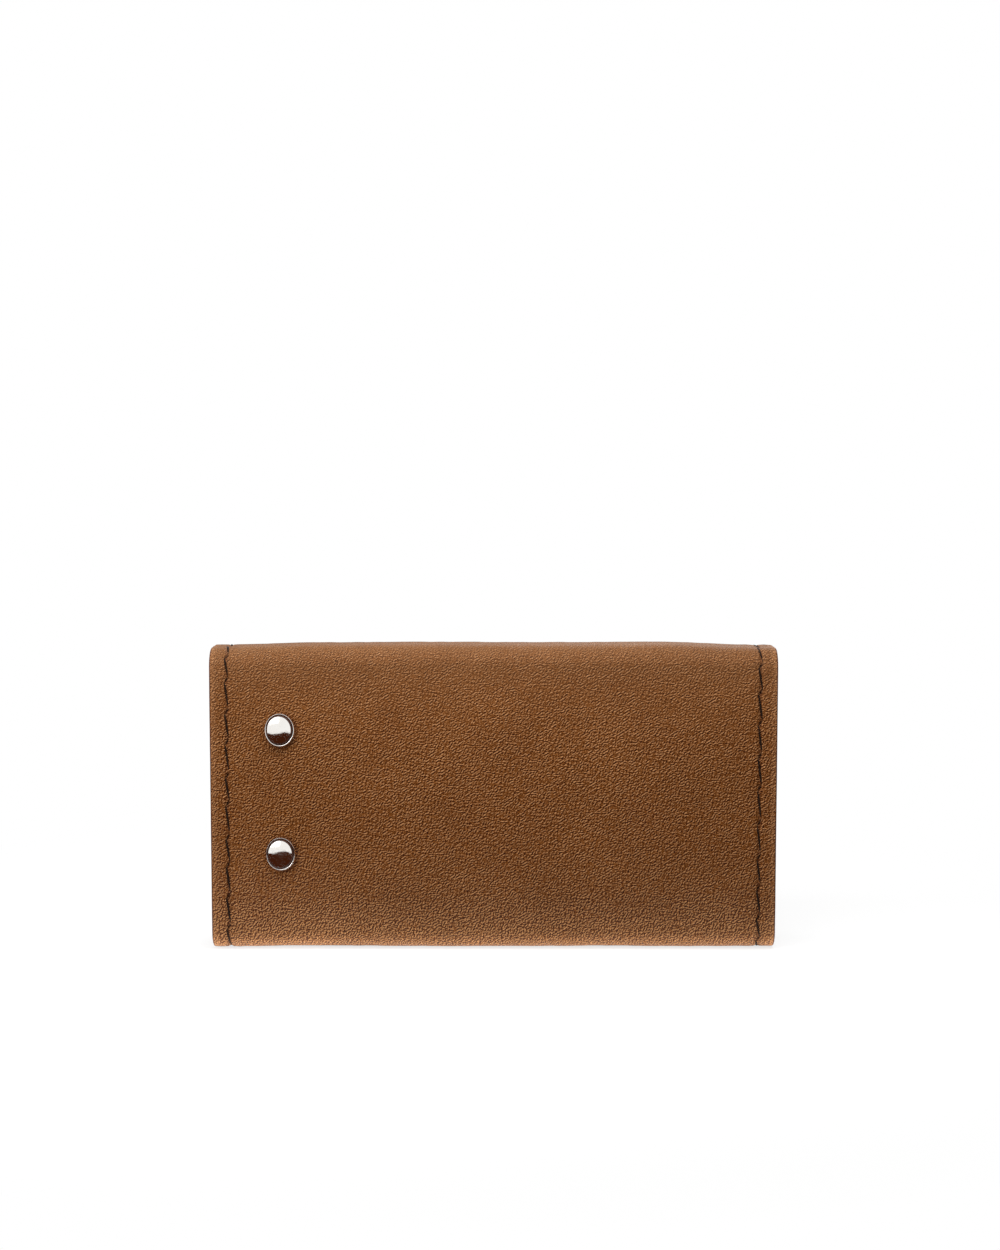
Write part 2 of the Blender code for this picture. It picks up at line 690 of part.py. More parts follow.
def hook(number, height):
    """One hook, with a pocket in its block for the gate."""
    body = outline_solid(f"hook_{number}", [hook_outline(height)], HOOK_THICKNESS, facing_y(STEM_Y), "nickel")
    boolean(body, hook_stem(number, height), "UNION")
    half = GATE_HEIGHT / 2 + GATE_CLEARANCE
    reach = GATE_EYE_RADIUS + GATE_CLEARANCE
    pivot = height + GATE_PIVOT_RISE
    low = (GATE_PIVOT_X - reach, STEM_Y - half, pivot - reach)
    high = (BLOCK_END + CUT_OVERRUN, STEM_Y + half, height + HOOK_WIDTH / 2 + CUT_OVERRUN)
    boolean(body, box(f"gate_pocket_{number}", low, high, cutter=True))
    radius = GATE_PIN_RADIUS + GATE_PIN_CLEARANCE
    place = (GATE_PIVOT_X, STEM_Y, pivot)
    length = HOOK_THICKNESS + CUT_OVERRUN
    boolean(body, pivot_bar(f"pin_hole_{number}", place, radius, length, cutter=True))
    return body


def gate(number, height):
    """The bar that closes the hook, turning on a pin in the block and stopped by the nose."""
    top = height + HOOK_WIDTH / 2
    pivot = (GATE_PIVOT_X, height + GATE_PIVOT_RISE)
    bar_start = math.degrees(math.asin((GATE_EYE_RADIUS - GATE_THICKNESS) / GATE_EYE_RADIUS))
    eye = arc(pivot, GATE_EYE_RADIUS, 90, 360 + bar_start, 2 * CORNER_STEPS)
    tip = NOSE_X - GATE_CLEARANCE
    slope = NOSE_SLOPE * GATE_THICKNESS / HOOK_BAR
    outline = eye + [(tip + slope, top - GATE_THICKNESS), (tip, top)]
    hole = circle(pivot, GATE_PIN_RADIUS + GATE_PIN_CLEARANCE, SMALL_HOLE_STEPS)
    return outline_solid(f"gate_{number}", [outline, hole], GATE_HEIGHT, facing_y(STEM_Y), "nickel")


def gate_pin(number, height):
    place = (GATE_PIVOT_X, STEM_Y, height + GATE_PIVOT_RISE)
    return smooth(pivot_bar(f"gate_pin_{number}", place, GATE_PIN_RADIUS, HOOK_THICKNESS, "satin_steel"))


# The press stud


def snap_cap():
    """The button outside the front flap, with the shank that goes through the leather."""
    profile = [
        (0, SNAP_CAP_RISE),
        (SNAP_CAP_RADIUS - SNAP_CAP_ROLL, SNAP_CAP_RISE - SNAP_CAP_ROLL / 2),
        (SNAP_CAP_RADIUS, SNAP_CAP_RISE - SNAP_CAP_ROLL),
        (SNAP_CAP_RADIUS, 0),
        (SNAP_SHANK_RADIUS, 0),
        (SNAP_SHANK_RADIUS, -OUTER_LEATHER - SEAT_GAP),
        (0, -OUTER_LEATHER - SEAT_GAP),
    ]
    frame = pointing((0, FRONT_FACE + SEAT_GAP, SNAP_HEIGHT), (0, 1, 0))
    return smooth(turned_solid("snap_cap", profile, frame, "nickel", 2 * SMALL_HOLE_STEPS))


def snap_socket():
    """The cup inside the front flap that grips the stud."""
    profile = [
        (0, SOCKET_BACK),
        (SOCKET_BORE_RADIUS, SOCKET_BACK),
        (SOCKET_BORE_RADIUS, SOCKET_THICKNESS),
        (SOCKET_RADIUS, SOCKET_THICKNESS),
        (SOCKET_RADIUS, 0),
        (0, 0),
    ]
    frame = pointing((0, FRONT_FACE - OUTER_LEATHER - SEAT_GAP, SNAP_HEIGHT), (0, -1, 0))
    return smooth(turned_solid("snap_socket", profile, frame, "nickel"))


def snap_stud():
    """The stud outside the inner flap, its flange let into the leather."""
    crown = STUD_FLANGE_THICKNESS + STUD_RISE
    bore_top = crown - STUD_FLANGE_THICKNESS
    profile = [
        (0, crown),
        (STUD_RADIUS, crown),
        (STUD_RADIUS, STUD_FLANGE_THICKNESS),
        (STUD_FLANGE_RADIUS, STUD_FLANGE_THICKNESS),
        (STUD_FLANGE_RADIUS, 0),
        (STUD_BORE_RADIUS, 0),
        (STUD_BORE_RADIUS, bore_top),
        (0, bore_top),
    ]
    frame = pointing((0, INNER_FLAP_FACE - STUD_FLANGE_THICKNESS, SNAP_HEIGHT), (0, 1, 0))
    return smooth(turned_solid("snap_stud", profile, frame, "nickel"))


def snap_post():
    """The disc behind the inner flap, whose pin goes through into the stud."""
    pin_end = -WALL - STUD_PIN_REACH
    profile = [
        (0, POST_THICKNESS),
        (POST_RADIUS, POST_THICKNESS),
        (POST_RADIUS, 0),
        (STUD_PIN_RADIUS, 0),
        (STUD_PIN_RADIUS, pin_end),
        (0, pin_end),
    ]
    frame = pointing((0, INNER_FLAP_FACE - WALL - SEAT_GAP, SNAP_HEIGHT), (0, -1, 0))
    return smooth(turned_solid("snap_post", profile, frame, "nickel"))


# Assembly


def pivot_point(fold):
    """Where a fold's two sides turn about each other: on the leather's middle line, half way round."""
    (y, z), start = FOLDS[fold]
    half_way = math.radians(start - QUARTER_TURN / 2)
    reach = math.sqrt(2) * HINGE_OFFSET
    return (0, y + reach * math.cos(half_way), z + reach * math.sin(half_way))


def axis(name, place, carrier=None):
    """An empty on a joint's axis, carried by another."""
    empty = bpy.data.objects.new(name, None)
    empty.location = place
    PARTS.objects.link(empty)
    carry([empty], carrier)
    return empty


def carry(pieces, carrier):
    """Hangs pieces on an axis without moving them."""
    bpy.context.view_layer.update()
    for piece in pieces:
        if carrier:
            piece.parent = carrier
            piece.matrix_parent_inverse = carrier.matrix_world.inverted()


def seams():
    """The thread in each stretch of the strip."""
    stretches = {"back": {}, "lower": {}, "upper": {}}
    for side, x in SEAM_X.items():
        stretches["back"][side] = seam(f"back_seam_{side}", back_path(x))
        stretches["lower"][side] = seam(f"lower_seam_{side}", wrap_stretch(x, ["lower_front", "lower_back"]))
        stretches["upper"][side] = seam(f"upper_seam_{side}", wrap_stretch(x, ["upper_back", "upper_front"]))
    stretches["front_flap"] = seam("front_flap_seam", flap_path(FRONT_FACE, PANEL_BOTTOM, FRONT_FLAP_RISE))
    stretches["inner_flap"] = seam("inner_flap_seam", flap_path(INNER_FLAP_FACE, PANEL_TOP, INNER_FLAP_EDGE))
    return stretches


def build():
    bends = folds()
    threads = seams()

    back = axis("back", (0, 0, 0))
    lower_back = axis("lower_back_axis", pivot_point("lower_back"), back)
    lower_front = axis("lower_front_axis", pivot_point("lower_front"), lower_back)
    upper_back = axis("upper_back_axis", pivot_point("upper_back"), back)
    upper_front = axis("upper_front_axis", pivot_point("upper_front"), upper_back)

    rivets = [make(level) for level in RIVET_HEIGHTS for make in (rivet_cap, rivet_foot)]
    carry(back_panel() + rivets + [rail()] + list(threads["back"].values()), back)
    carry(bends["lower_back"] + bends["upper_back"], back)

    lower_spine = spine("lower_spine", FRONT_FACE, 0, 1)
    carry(lower_spine + bends["lower_front"] + list(threads["lower"].values()), lower_back)
    upper_spine = spine("upper_spine", INNER_FLAP_FACE, CASE_HEIGHT, -1)
    carry(upper_spine + bends["upper_front"] + list(threads["upper"].values()), upper_back)

    carry(front_flap() + [snap_cap(), snap_socket(), threads["front_flap"]], lower_front)
    carry(inner_flap() + [snap_stud(), snap_post(), threads["inner_flap"]], upper_front)

    for number, height in HOOK_HEIGHTS.items():
        swivel = axis(f"hook_axis_{number}", (RAIL_RIGHT, STEM_Y, height), back)
        carry([hook(number, height), gate_pin(number, height)], swivel)
        pivot = axis(f"gate_axis_{number}", (GATE_PIVOT_X, STEM_Y, height + GATE_PIVOT_RISE), swivel)
        carry([gate(number, height)], pivot)


build()
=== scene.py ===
"""The looks of a folding leather key case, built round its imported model.

The leather, its lining and its thread are one long strip, drawn flat in strip coordinates: x along the case
and s along the strip, from the front flap's free edge, round the two long edges, to the inner flap's free
edge. place() rolls the strip up round the case. Metres.
"""

import math

import bmesh
import bpy
import numpy as np
from mathutils import Matrix, Vector


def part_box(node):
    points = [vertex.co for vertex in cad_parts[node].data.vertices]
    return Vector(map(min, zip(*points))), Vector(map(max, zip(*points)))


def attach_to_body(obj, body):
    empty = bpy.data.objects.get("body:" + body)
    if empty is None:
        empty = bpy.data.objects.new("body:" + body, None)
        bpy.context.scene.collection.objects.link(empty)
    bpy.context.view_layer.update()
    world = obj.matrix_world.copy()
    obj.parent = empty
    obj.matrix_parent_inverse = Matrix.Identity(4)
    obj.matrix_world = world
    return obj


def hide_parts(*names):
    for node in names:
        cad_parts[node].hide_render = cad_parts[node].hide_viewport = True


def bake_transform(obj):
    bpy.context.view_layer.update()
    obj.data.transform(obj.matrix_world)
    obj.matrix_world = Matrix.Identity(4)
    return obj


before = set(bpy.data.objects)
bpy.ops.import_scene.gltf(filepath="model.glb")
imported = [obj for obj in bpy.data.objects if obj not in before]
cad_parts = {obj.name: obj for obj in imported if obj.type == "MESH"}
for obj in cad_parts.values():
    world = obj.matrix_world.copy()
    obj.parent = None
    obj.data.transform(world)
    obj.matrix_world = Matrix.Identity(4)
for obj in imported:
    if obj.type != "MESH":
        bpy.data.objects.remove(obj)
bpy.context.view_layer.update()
MM = 0.001
ROUNDING_ERROR = 1e-9
TIE_BREAK = 1e-6

# The case, as the imported model has it
back_low, back_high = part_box("back_leather")
lining_low, lining_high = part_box("back_lining")
front_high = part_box("front_flap_leather")[1]
inner_low, inner_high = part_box("inner_flap_leather")
fold_low, fold_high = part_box("lower_back_fold_leather")
HALF_LENGTH = back_high.x
BACK = back_low.y
FRONT = front_high.y
INNER_FRONT = inner_high.y
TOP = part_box("upper_spine_leather")[1].z
FOLD = fold_high.z - fold_low.z
LINING_START = lining_low.y - BACK
WALL = lining_high.y - BACK
FLAP_CORNER = 8.5 * MM

# The shape that wear and sewing give the leather
CUT_ROUNDING = 0.35 * MM
FOLD_END_DROOP = 0.12 * MM
FOLD_END_WIDTH = 0.45 * MM
FOLD_FADE = 6 * MM
# How far the pale colour of the folds reaches: partly wear from handling, partly painted sheen
RUBBED_SHEEN_START = 5.5 * MM
RUBBED_SHEEN_FADE = 9 * MM
# At the lower folds and at the upper ones
RUBBED_SHEEN_MOST = (0.55, 0.92)
CROWN = 0.55 * MM
CROWN_START = 34 * MM
CROWN_FOOT = 20 * MM
SKIN_SINK = 0.06 * MM
BELLY = 0.5 * MM
BELLY_ROLL = 0.5
BELLY_FOOT = 0.14
BELLY_MIDDLE = 25 * MM
SWELL = 0.10 * MM
SWELL_SIZE = 11 * MM
RIPPLE = 0.035 * MM
RIPPLE_SIZE = 1.9 * MM

# How full the grain and how strong its painted relief light and shade are, at two places before the back
# panel, at shares of it, and at the inner flap's two ends
GRAIN_BEFORE = (-25 * MM, -14 * MM)
GRAIN_SHARES = (-0.04, 0.04, 0.14, 0.26, 0.5, 0.66, 0.84, 1.0)
GRAIN_AND_SHADE_FULL = (0.85, 1.4, 2.5, 1.9, 1.05, 0.83, 0.8, 0.8, 0.67, 0.6, 0.68, 0.82)

# The seam
SEAM_INSET = 3.5 * MM
FURROW_DEPTH = 0.2 * MM
FURROW_WIDTH = 0.36 * MM
INSIDE_FURROW = 0.5
PUCKER = 0.07 * MM
PUCKER_WIDTH = 1.7 * MM
HOLE_DEPTH = 0.3 * MM
HOLE_SIZE = 0.48 * MM
SLIT_ANGLE = math.radians(55)
SLIT_SHAPE = (0.55, 1.9)
STITCH_PITCH = 6.3 * MM
STITCH_JITTER = 0.35 * MM
STITCH_SLANT = 0.5 * MM
THREAD_RADIUS = 0.2 * MM
THREAD_SINK = 0.16 * MM
THREAD_START_SINK = 0.13 * MM
THREAD_TIGHT_SINK = 0.025 * MM
THREAD_TIGHT_WAVE = 1.9
THREAD_HOLE_SINK = 0.85 * MM
THREAD_DIVE = 8
THREAD_TWIST = 3600
THREAD_SIDES = 12
THREAD_PLIES = 3
THREAD_LOBE = 0.16
THREAD_SPACING = 0.15 * MM
STITCH_POINTS = 13
CORNER_POINTS = 13
# Holes beside the back panel, in mm up from its lower end, at the left and the right of the rivets' side
BACK_HOLES = {
    -1: (0.9, 7.3, 13.7, 19.4, 26.3, 32.2, 39.2, 45.5, 52.0, 57.1),
    1: (-1.9, 2.8, 8.9, 15.2, 22.3, 29.6, 36.2, 43.1, 49.4, 54.9),
}

# The leather pressed in round the rivets
RIVET_PRESS = 0.16 * MM
RIVET_PRESS_WIDTH = 0.42 * MM

# How far the painted shade in the seam's furrow and in its holes reaches
SEAM_SHADE_REACH = 0.3 * MM
HOLE_SHADE_REACH = 0.4 * MM

# How finely the strip is divided
CELL = 0.42 * MM
FINE_CELL = 0.16 * MM
FINE_REACH = 1.1 * MM
LINING_CELL = 0.6 * MM
EDGE_STEPS = 5
SEED = 11


# The strip


def zone(name, bodies, length, angle=None, centre=None, **flat):
    """A stretch of the strip: a fold, with its first angle and its centre, or a flat one."""
    return {"name": name, "bodies": bodies, "length": length, "angle": angle, "centre": centre, **flat}


QUARTER = math.pi / 2 * FOLD
ZONES = [
    zone("front_flap", ["front_flap"], front_high.z - FOLD, corner=(FRONT, front_high.z), along=(0, -1)),
    zone("lower_front_fold", ["front_flap", "lower_spine"], QUARTER, 0, (FRONT - FOLD, FOLD)),
    zone("lower_spine", ["lower_spine"], FRONT - BACK - 2 * FOLD, corner=(FRONT - FOLD, 0), along=(-1, 0)),
    zone("lower_back_fold", ["lower_spine", "back"], QUARTER, -90, (BACK + FOLD, FOLD)),
    zone("back", ["back"], TOP - 2 * FOLD, corner=(BACK, FOLD), along=(0, 1)),
    zone("upper_back_fold", ["back", "upper_spine"], QUARTER, 180, (BACK + FOLD, TOP - FOLD)),
    zone(
        "upper_spine", ["upper_spine"], INNER_FRONT - BACK - 2 * FOLD,
        corner=(BACK + FOLD, TOP), along=(1, 0),
    ),
    zone("upper_front_fold", ["upper_spine", "inner_flap"], QUARTER, 90, (INNER_FRONT - FOLD, TOP - FOLD)),
    zone(
        "inner_flap", ["inner_flap"], TOP - FOLD - inner_low.z,
        corner=(INNER_FRONT, TOP - FOLD), along=(0, -1),
    ),
]
STRIP_LENGTH = 0
for part in ZONES:
    part["start"] = STRIP_LENGTH
    STRIP_LENGTH += part["length"]
    part["end"] = STRIP_LENGTH
ZONE = {part["name"]: part for part in ZONES}


def smoothstep(value):
    value = np.clip(value, 0, 1)
    return value * value * (3 - 2 * value)


def bell(value, width):
    return np.exp(-((value / width) ** 2))


def cloudy(x, s, size, seed):
    """Smooth random hills, about one a size, between -1 and 1."""
    rng = np.random.default_rng(seed)
    across = int(2 * HALF_LENGTH / size) + 6
    along = int(STRIP_LENGTH / size) + 6
    heights = rng.uniform(-1, 1, (along, across))
    u = (x + HALF_LENGTH) / size + 1.5
    v = s / size + 1.5
    u0, v0 = np.floor(u).astype(int), np.floor(v).astype(int)
    fu, fv = smoothstep(u - u0), smoothstep(v - v0)
    low = heights[v0, u0] * (1 - fu) + heights[v0, u0 + 1] * fu
    high = heights[v0 + 1, u0] * (1 - fu) + heights[v0 + 1, u0 + 1] * fu
    return low * (1 - fv) + high * fv


def beyond_folds(s):
    """How far places lie outside the lower folds, and outside the upper ones."""
    pairs = (("lower_front_fold", "lower_back_fold"), ("upper_back_fold", "upper_front_fold"))
    return [np.maximum(ZONE[first]["start"] - s, s - ZONE[last]["end"]) for first, last in pairs]


def fold_share(s):
    """1 on a fold or a spine, fading to 0 a little way into the panels and flaps."""
    return np.maximum(*(1 - smoothstep(outside / FOLD_FADE) for outside in beyond_folds(s)))


def rubbed_and_sheen_share(s):
    """How pale the leather is painted, partly for wear from handling and partly as painted sheen: most on the
    folds' crests, less into the panels and flaps.
    """
    faded = [np.exp(-np.maximum(outside + RUBBED_SHEEN_START, 0) / RUBBED_SHEEN_FADE) for outside in beyond_folds(s)]
    return np.maximum(*(most * share for most, share in zip(RUBBED_SHEEN_MOST, faded)))


def grain_and_shade_share(s):
    """How full the grain and how strong its painted relief light and shade are: shallow and weak at the upper
    fold, full and strong at the lower one, where its painted highlights also lighten the leather.
    """
    back, flap = ZONE["back"], ZONE["inner_flap"]
    steps = [back["start"] + before for before in GRAIN_BEFORE]
    steps += [back["start"] + share * back["length"] for share in GRAIN_SHARES]
    return np.interp(s, steps + [flap["start"], flap["end"]], GRAIN_AND_SHADE_FULL)


def place(x, s, depth):
    """Rolls strip coordinates, and a depth below the outer face, into the case's own space."""
    x, s, depth = np.broadcast_arrays(*(np.asarray(value, float) for value in (x, s, depth)))
    end = np.clip((np.abs(x) - HALF_LENGTH + FOLD_END_WIDTH) / FOLD_END_WIDTH, 0, 1)
    depth = depth + FOLD_END_DROOP * fold_share(s) * (1 - np.sqrt(1 - end**2))
    y, z = np.zeros_like(s), np.zeros_like(s)
    for part in ZONES:
        inside = (s >= part["start"] - ROUNDING_ERROR) & (s <= part["end"] + ROUNDING_ERROR)
        run = s[inside] - part["start"]
        if part["centre"]:
            angle = math.radians(part["angle"]) - run / FOLD
            radius = FOLD - depth[inside]
            y[inside] = part["centre"][0] + radius * np.cos(angle)
            z[inside] = part["centre"][1] + radius * np.sin(angle)
        else:
            (y0, z0), (along_y, along_z) = part["corner"], part["along"]
            y[inside] = y0 + along_y * run + along_z * depth[inside]
            z[inside] = z0 + along_z * run - along_y * depth[inside]
    settle = smoothstep((np.abs(x) - CROWN_START) / (HALF_LENGTH - CROWN_START))
    z = z - CROWN * settle * smoothstep((z - CROWN_FOOT) / (TOP - CROWN_FOOT))
    return np.stack([x, y, z], axis=-1)


def edge_distance(x, s):
    """How far a point of the strip lies from its cut edge, round the flaps' corners too."""
    end = np.minimum(s, STRIP_LENGTH - s)
    side = HALF_LENGTH - np.abs(x)
    corner = FLAP_CORNER - np.hypot(np.maximum(FLAP_CORNER - side, 0), np.maximum(FLAP_CORNER - end, 0))
    return np.where((side < FLAP_CORNER) & (end < FLAP_CORNER), corner, np.minimum(side, end))


def round_corners(x, s):
    """Bends a square grid to the flaps' round corners."""
    straight = HALF_LENGTH - FLAP_CORNER
    u = np.clip((np.abs(x) - straight) / FLAP_CORNER, 0, 1)
    end = np.minimum(s, STRIP_LENGTH - s)
    v = np.clip(1 - end / FLAP_CORNER, 0, 1)
    bent = np.sign(x) * (straight + FLAP_CORNER * u * np.sqrt(1 - v * v / 2))
    new_x = np.where(np.abs(x) > straight, bent, x)
    new_end = np.where(end < FLAP_CORNER, FLAP_CORNER * (1 - v * np.sqrt(1 - u * u / 2)), end)
    return new_x, np.where(s < STRIP_LENGTH / 2, new_end, STRIP_LENGTH - new_end)


def from_edge(length, cell, fine):
    """Marks from a cut edge inwards, close together where the edge is rounded and in the seam."""
    marks = list(CUT_ROUNDING * (1 - np.cos(np.linspace(0, math.pi / 2, EDGE_STEPS + 1))))
    while marks[-1] < length:
        marks.append(marks[-1] + (fine if abs(marks[-1] - SEAM_INSET) < FINE_REACH else cell))
    marks = np.array(marks)
    rest = marks[EDGE_STEPS + 1 :] - CUT_ROUNDING
    rest = CUT_ROUNDING + rest * (length - CUT_ROUNDING) / (marks[-1] - CUT_ROUNDING)
    return np.concatenate([marks[: EDGE_STEPS + 1], rest])


def columns(cell, fine):
    """Positions along the case."""
    marks = HALF_LENGTH - from_edge(HALF_LENGTH, cell, fine)
    return np.concatenate([-marks[:-1], marks[::-1]])


def rows(cell, fine):
    """Positions along the strip, with one on every border between zones."""
    marks = list(from_edge(ZONES[0]["length"], cell, fine))
    for part in ZONES[1:-1]:
        count = max(4, round(part["length"] / cell))
        marks += list(np.linspace(part["start"], part["end"], count + 1))[1:]
    last = STRIP_LENGTH - from_edge(ZONES[-1]["length"], cell, fine)
    return np.array(marks + list(last[::-1])[1:])


# The seam


def seam_path(side):
    """Half of the seam in strip coordinates, from the middle of one free edge to the middle of the other."""
    low, high = SEAM_INSET, STRIP_LENGTH - SEAM_INSET
    reach = HALF_LENGTH - SEAM_INSET
    corner = FLAP_CORNER - SEAM_INSET
    turns = np.linspace(0, math.pi / 2, CORNER_POINTS)
    points = [(0, low)]
    points += [(reach - corner + corner * math.sin(t), low + corner * (1 - math.cos(t))) for t in turns]
    points += [(reach - corner + corner * math.cos(t), high - corner * (1 - math.sin(t))) for t in turns]
    points.append((0, high))
    return np.array(points) * (side, 1)


def path_marks(path):
    return np.concatenate([[0], np.cumsum(np.hypot(*np.diff(path, axis=0).T))])


def along_path(path, distance):
    """Points at distances along a path, with the directions there."""
    marks = path_marks(path)
    steps = np.diff(path, axis=0)
    distance = np.clip(distance, 0, marks[-1])
    index = np.clip(np.searchsorted(marks, distance, side="right") - 1, 0, len(steps) - 1)
    lengths = np.diff(marks)[index]
    share = (distance - marks[index]) / lengths
    return path[index] + steps[index] * share[:, None], steps[index] / lengths[:, None]


def hole_marks(side, path):
    """Where the holes of half of the seam are, along it: as measured beside the back panel, else even."""
    rng = np.random.default_rng(SEED + side)
    marks = path_marks(path)
    shown = marks[CORNER_POINTS] - FLAP_CORNER + ZONE["back"]["start"] + np.array(BACK_HOLES[side]) * MM
    found = []
    for start, end in ((0, shown[0]), (shown[-1], marks[-1])):
        even = np.linspace(start, end, round((end - start) / STITCH_PITCH) + 1)
        even[1:-1] += rng.uniform(-STITCH_JITTER, STITCH_JITTER, len(even) - 2)
        found.append(even)
    return np.concatenate([found[0][:-1], shown, found[1][1:]])


def stitches():
    """Every stitch, as its half of the seam and where it starts and ends along it."""
    made = []
    for side in (-1, 1):
        path = seam_path(side)
        marks = hole_marks(side, path)
        made += [(path, start, end) for start, end in zip(marks, marks[1:])]
    return made


STITCHES = stitches()
# Each hole's place, and the direction of the seam there
HOLES = [
    (*place_here[0], *direction[0])
    for path, start, end in STITCHES
    for place_here, direction in (along_path(path, np.array([mark])) for mark in (start, end))
]


def stitch_line(path, start, end, outer):
    """One stitch from hole to hole, slanting, as points in the case's space."""
    share = np.linspace(0, 1, STITCH_POINTS)
    middle, direction = along_path(path, start + THREAD_RADIUS + (end - start - 2 * THREAD_RADIUS) * share)
    across = np.stack([direction[:, 1], -direction[:, 0]], axis=-1)
    slant = STITCH_SLANT * (1 - 2 * share) * (1 if outer else -1)
    x, s = (middle + across * slant[:, None]).T
    tight = THREAD_TIGHT_SINK * (1 + math.sin(THREAD_TIGHT_WAVE * start / MM))
    sink = THREAD_SINK + tight + THREAD_START_SINK * (1 - share)
    sink += (THREAD_HOLE_SINK - THREAD_SINK) * (2 * share - 1) ** THREAD_DIVE
    return place(x, s, sink - swell(x, s) if outer else WALL - sink)


def stitch_zone(path, start, end):
    """The zone whose thread a stitch is sewn into: a fold if it reaches into one, and otherwise its own."""
    place_on = along_path(path, np.array([start, (start + end) / 2, end]))[0][:, 1]
    best, most = None, 0
    for part in ZONES:
        share = min(place_on.max(), part["end"]) - max(place_on.min(), part["start"])
        share += TIE_BREAK if part["start"] <= place_on[1] <= part["end"] else 0
        if part["centre"] and share > 0:
            share += STRIP_LENGTH
        if share > most:
            best, most = part["name"], share
    return best


# Surfaces of the strip


def hole_distance(x, s):
    """How far points near the seam lie from its nearest hole, a slanting slit, and far off elsewhere."""
    distance = np.full_like(x, STITCH_PITCH)
    near = np.abs(edge_distance(x, s) - SEAM_INSET) < STITCH_PITCH / 2
    near_x, near_s, nearest = x[near], s[near], distance[near]
    cos, sin = math.cos(SLIT_ANGLE), math.sin(SLIT_ANGLE)
    for hole_x, hole_s, direction_x, direction_s in HOLES:
        step_x, step_s = near_x - hole_x, near_s - hole_s
        onwards = step_x * direction_x + step_s * direction_s
        aside = step_x * direction_s - step_s * direction_x
        along_slit = onwards * sin + aside * cos
        across_slit = onwards * cos - aside * sin
        nearest = np.minimum(nearest, np.hypot(along_slit * SLIT_SHAPE[0], across_slit * SLIT_SHAPE[1]))
    distance[near] = nearest
    return distance


def seam_relief(x, s):
    """How deep sewing pulls the leather in, round the whole seam."""
    off = edge_distance(x, s) - SEAM_INSET
    distance = hole_distance(x, s)
    relief = FURROW_DEPTH * bell(off, FURROW_WIDTH) + HOLE_DEPTH * bell(distance, HOLE_SIZE)
    beside = bell(np.abs(off) - PUCKER_WIDTH, PUCKER_WIDTH / 2)
    return relief + PUCKER * beside * (2 * bell(distance, STITCH_PITCH / 3) - 1)


def rivet_relief(x, s):
    """The leather pressed in round each rivet's cap, and round the press stud's."""
    relief = np.zeros_like(x)
    for cap in ("rivet_cap_upper", "rivet_cap_lower", "snap_cap"):
        low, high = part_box(cap)
        centre_x, centre_z = (low.x + high.x) / 2, (low.z + high.z) / 2
        centre_s = front_high.z - centre_z if cap == "snap_cap" else ZONE["back"]["start"] + centre_z - FOLD
        reach = np.hypot((x - centre_x) * (high.z - low.z) / (high.x - low.x), s - centre_s)
        rim = (high.z - low.z) / 2
        relief += RIVET_PRESS * bell(np.maximum(reach - rim, 0), RIVET_PRESS_WIDTH)
    return relief


def cut_rounding(x, s, radius):
    over = np.clip(1 - edge_distance(x, s) / radius, 0, 1)
    return radius * (1 - np.sqrt(1 - over**2))


def face_normals(grid, outwards):
    across = np.gradient(grid, axis=1)
    along = np.gradient(grid, axis=0)
    normals = np.cross(across, along) * outwards
    return normals / np.linalg.norm(normals, axis=-1, keepdims=True)


def link(name, data, material=None):
    made = bpy.data.objects.new(name, data)
    bpy.context.scene.collection.objects.link(made)
    if material:
        data.materials.clear()
        data.materials.append(material)
    return made


def closed_sheet(name, near, far, near_normals, far_normals, flat, worn, glued_far, materials):
    """A closed piece of the strip between two grids, with its normals, UV map, marks of wear and of painted
    shade and sheen, and glued face.
    """
    count = near.shape[0] * near.shape[1]
    points = np.concatenate([near.reshape(-1, 3), far.reshape(-1, 3)])
    normals = np.concatenate([near_normals.reshape(-1, 3), far_normals.reshape(-1, 3)])
    uv = np.concatenate([flat.reshape(-1, 2)] * 2)
    index = np.arange(count).reshape(near.shape[:2])
    quads = np.stack([index[:-1, :-1], index[:-1, 1:], index[1:, 1:], index[1:, :-1]], axis=-1).reshape(-1, 4)
    backs = (quads + count)[:, ::-1]
    walls = []
    for edge, flip in ((index[:, -1], False), (index[:, 0], True), (index[0], False), (index[-1], True)):
        wall = [edge[:-1], edge[:-1] + count, edge[1:] + count, edge[1:]]
        walls.append(np.stack(wall[::-1] if flip else wall, axis=-1))
    walls = np.concatenate(walls)
    faces = np.concatenate([quads, backs, walls])
    corners = points[walls]
    flat_normals = np.cross(corners[:, 2] - corners[:, 0], corners[:, 3] - corners[:, 1])
    flat_normals /= np.maximum(np.linalg.norm(flat_normals, axis=-1, keepdims=True), 1e-15)
    loop_normals = np.concatenate(
        [normals[quads].reshape(-1, 3), normals[backs].reshape(-1, 3), np.repeat(flat_normals, 4, axis=0)]
    )
    mesh = bpy.data.meshes.new(name)
    mesh.from_pydata(points.tolist(), [], faces.tolist())
    mesh.polygons.foreach_set("use_smooth", np.ones(len(faces), bool))
    slots = np.repeat([0, 1, 2], [len(quads), len(backs), len(walls)])
    for material in materials:
        mesh.materials.append(material)
    mesh.polygons.foreach_set("material_index", slots)
    layer = mesh.uv_layers.new(name="strip")
    layer.data.foreach_set("uv", uv[faces.reshape(-1)].astype(np.float32).reshape(-1))
    for label, values in worn.items():
        attribute = mesh.attributes.new(label, "FLOAT", "POINT")
        attribute.data.foreach_set("value", np.tile(values.reshape(-1), 2).astype(np.float32))
    glue = np.repeat([0.0, 1.0] if glued_far else [1.0, 0.0], count)
    mesh.attributes.new("glue", "FLOAT", "POINT").data.foreach_set("value", glue.astype(np.float32))
    mesh.update()
    mesh.normals_split_custom_set(loop_normals.tolist())
    return link(name, mesh)


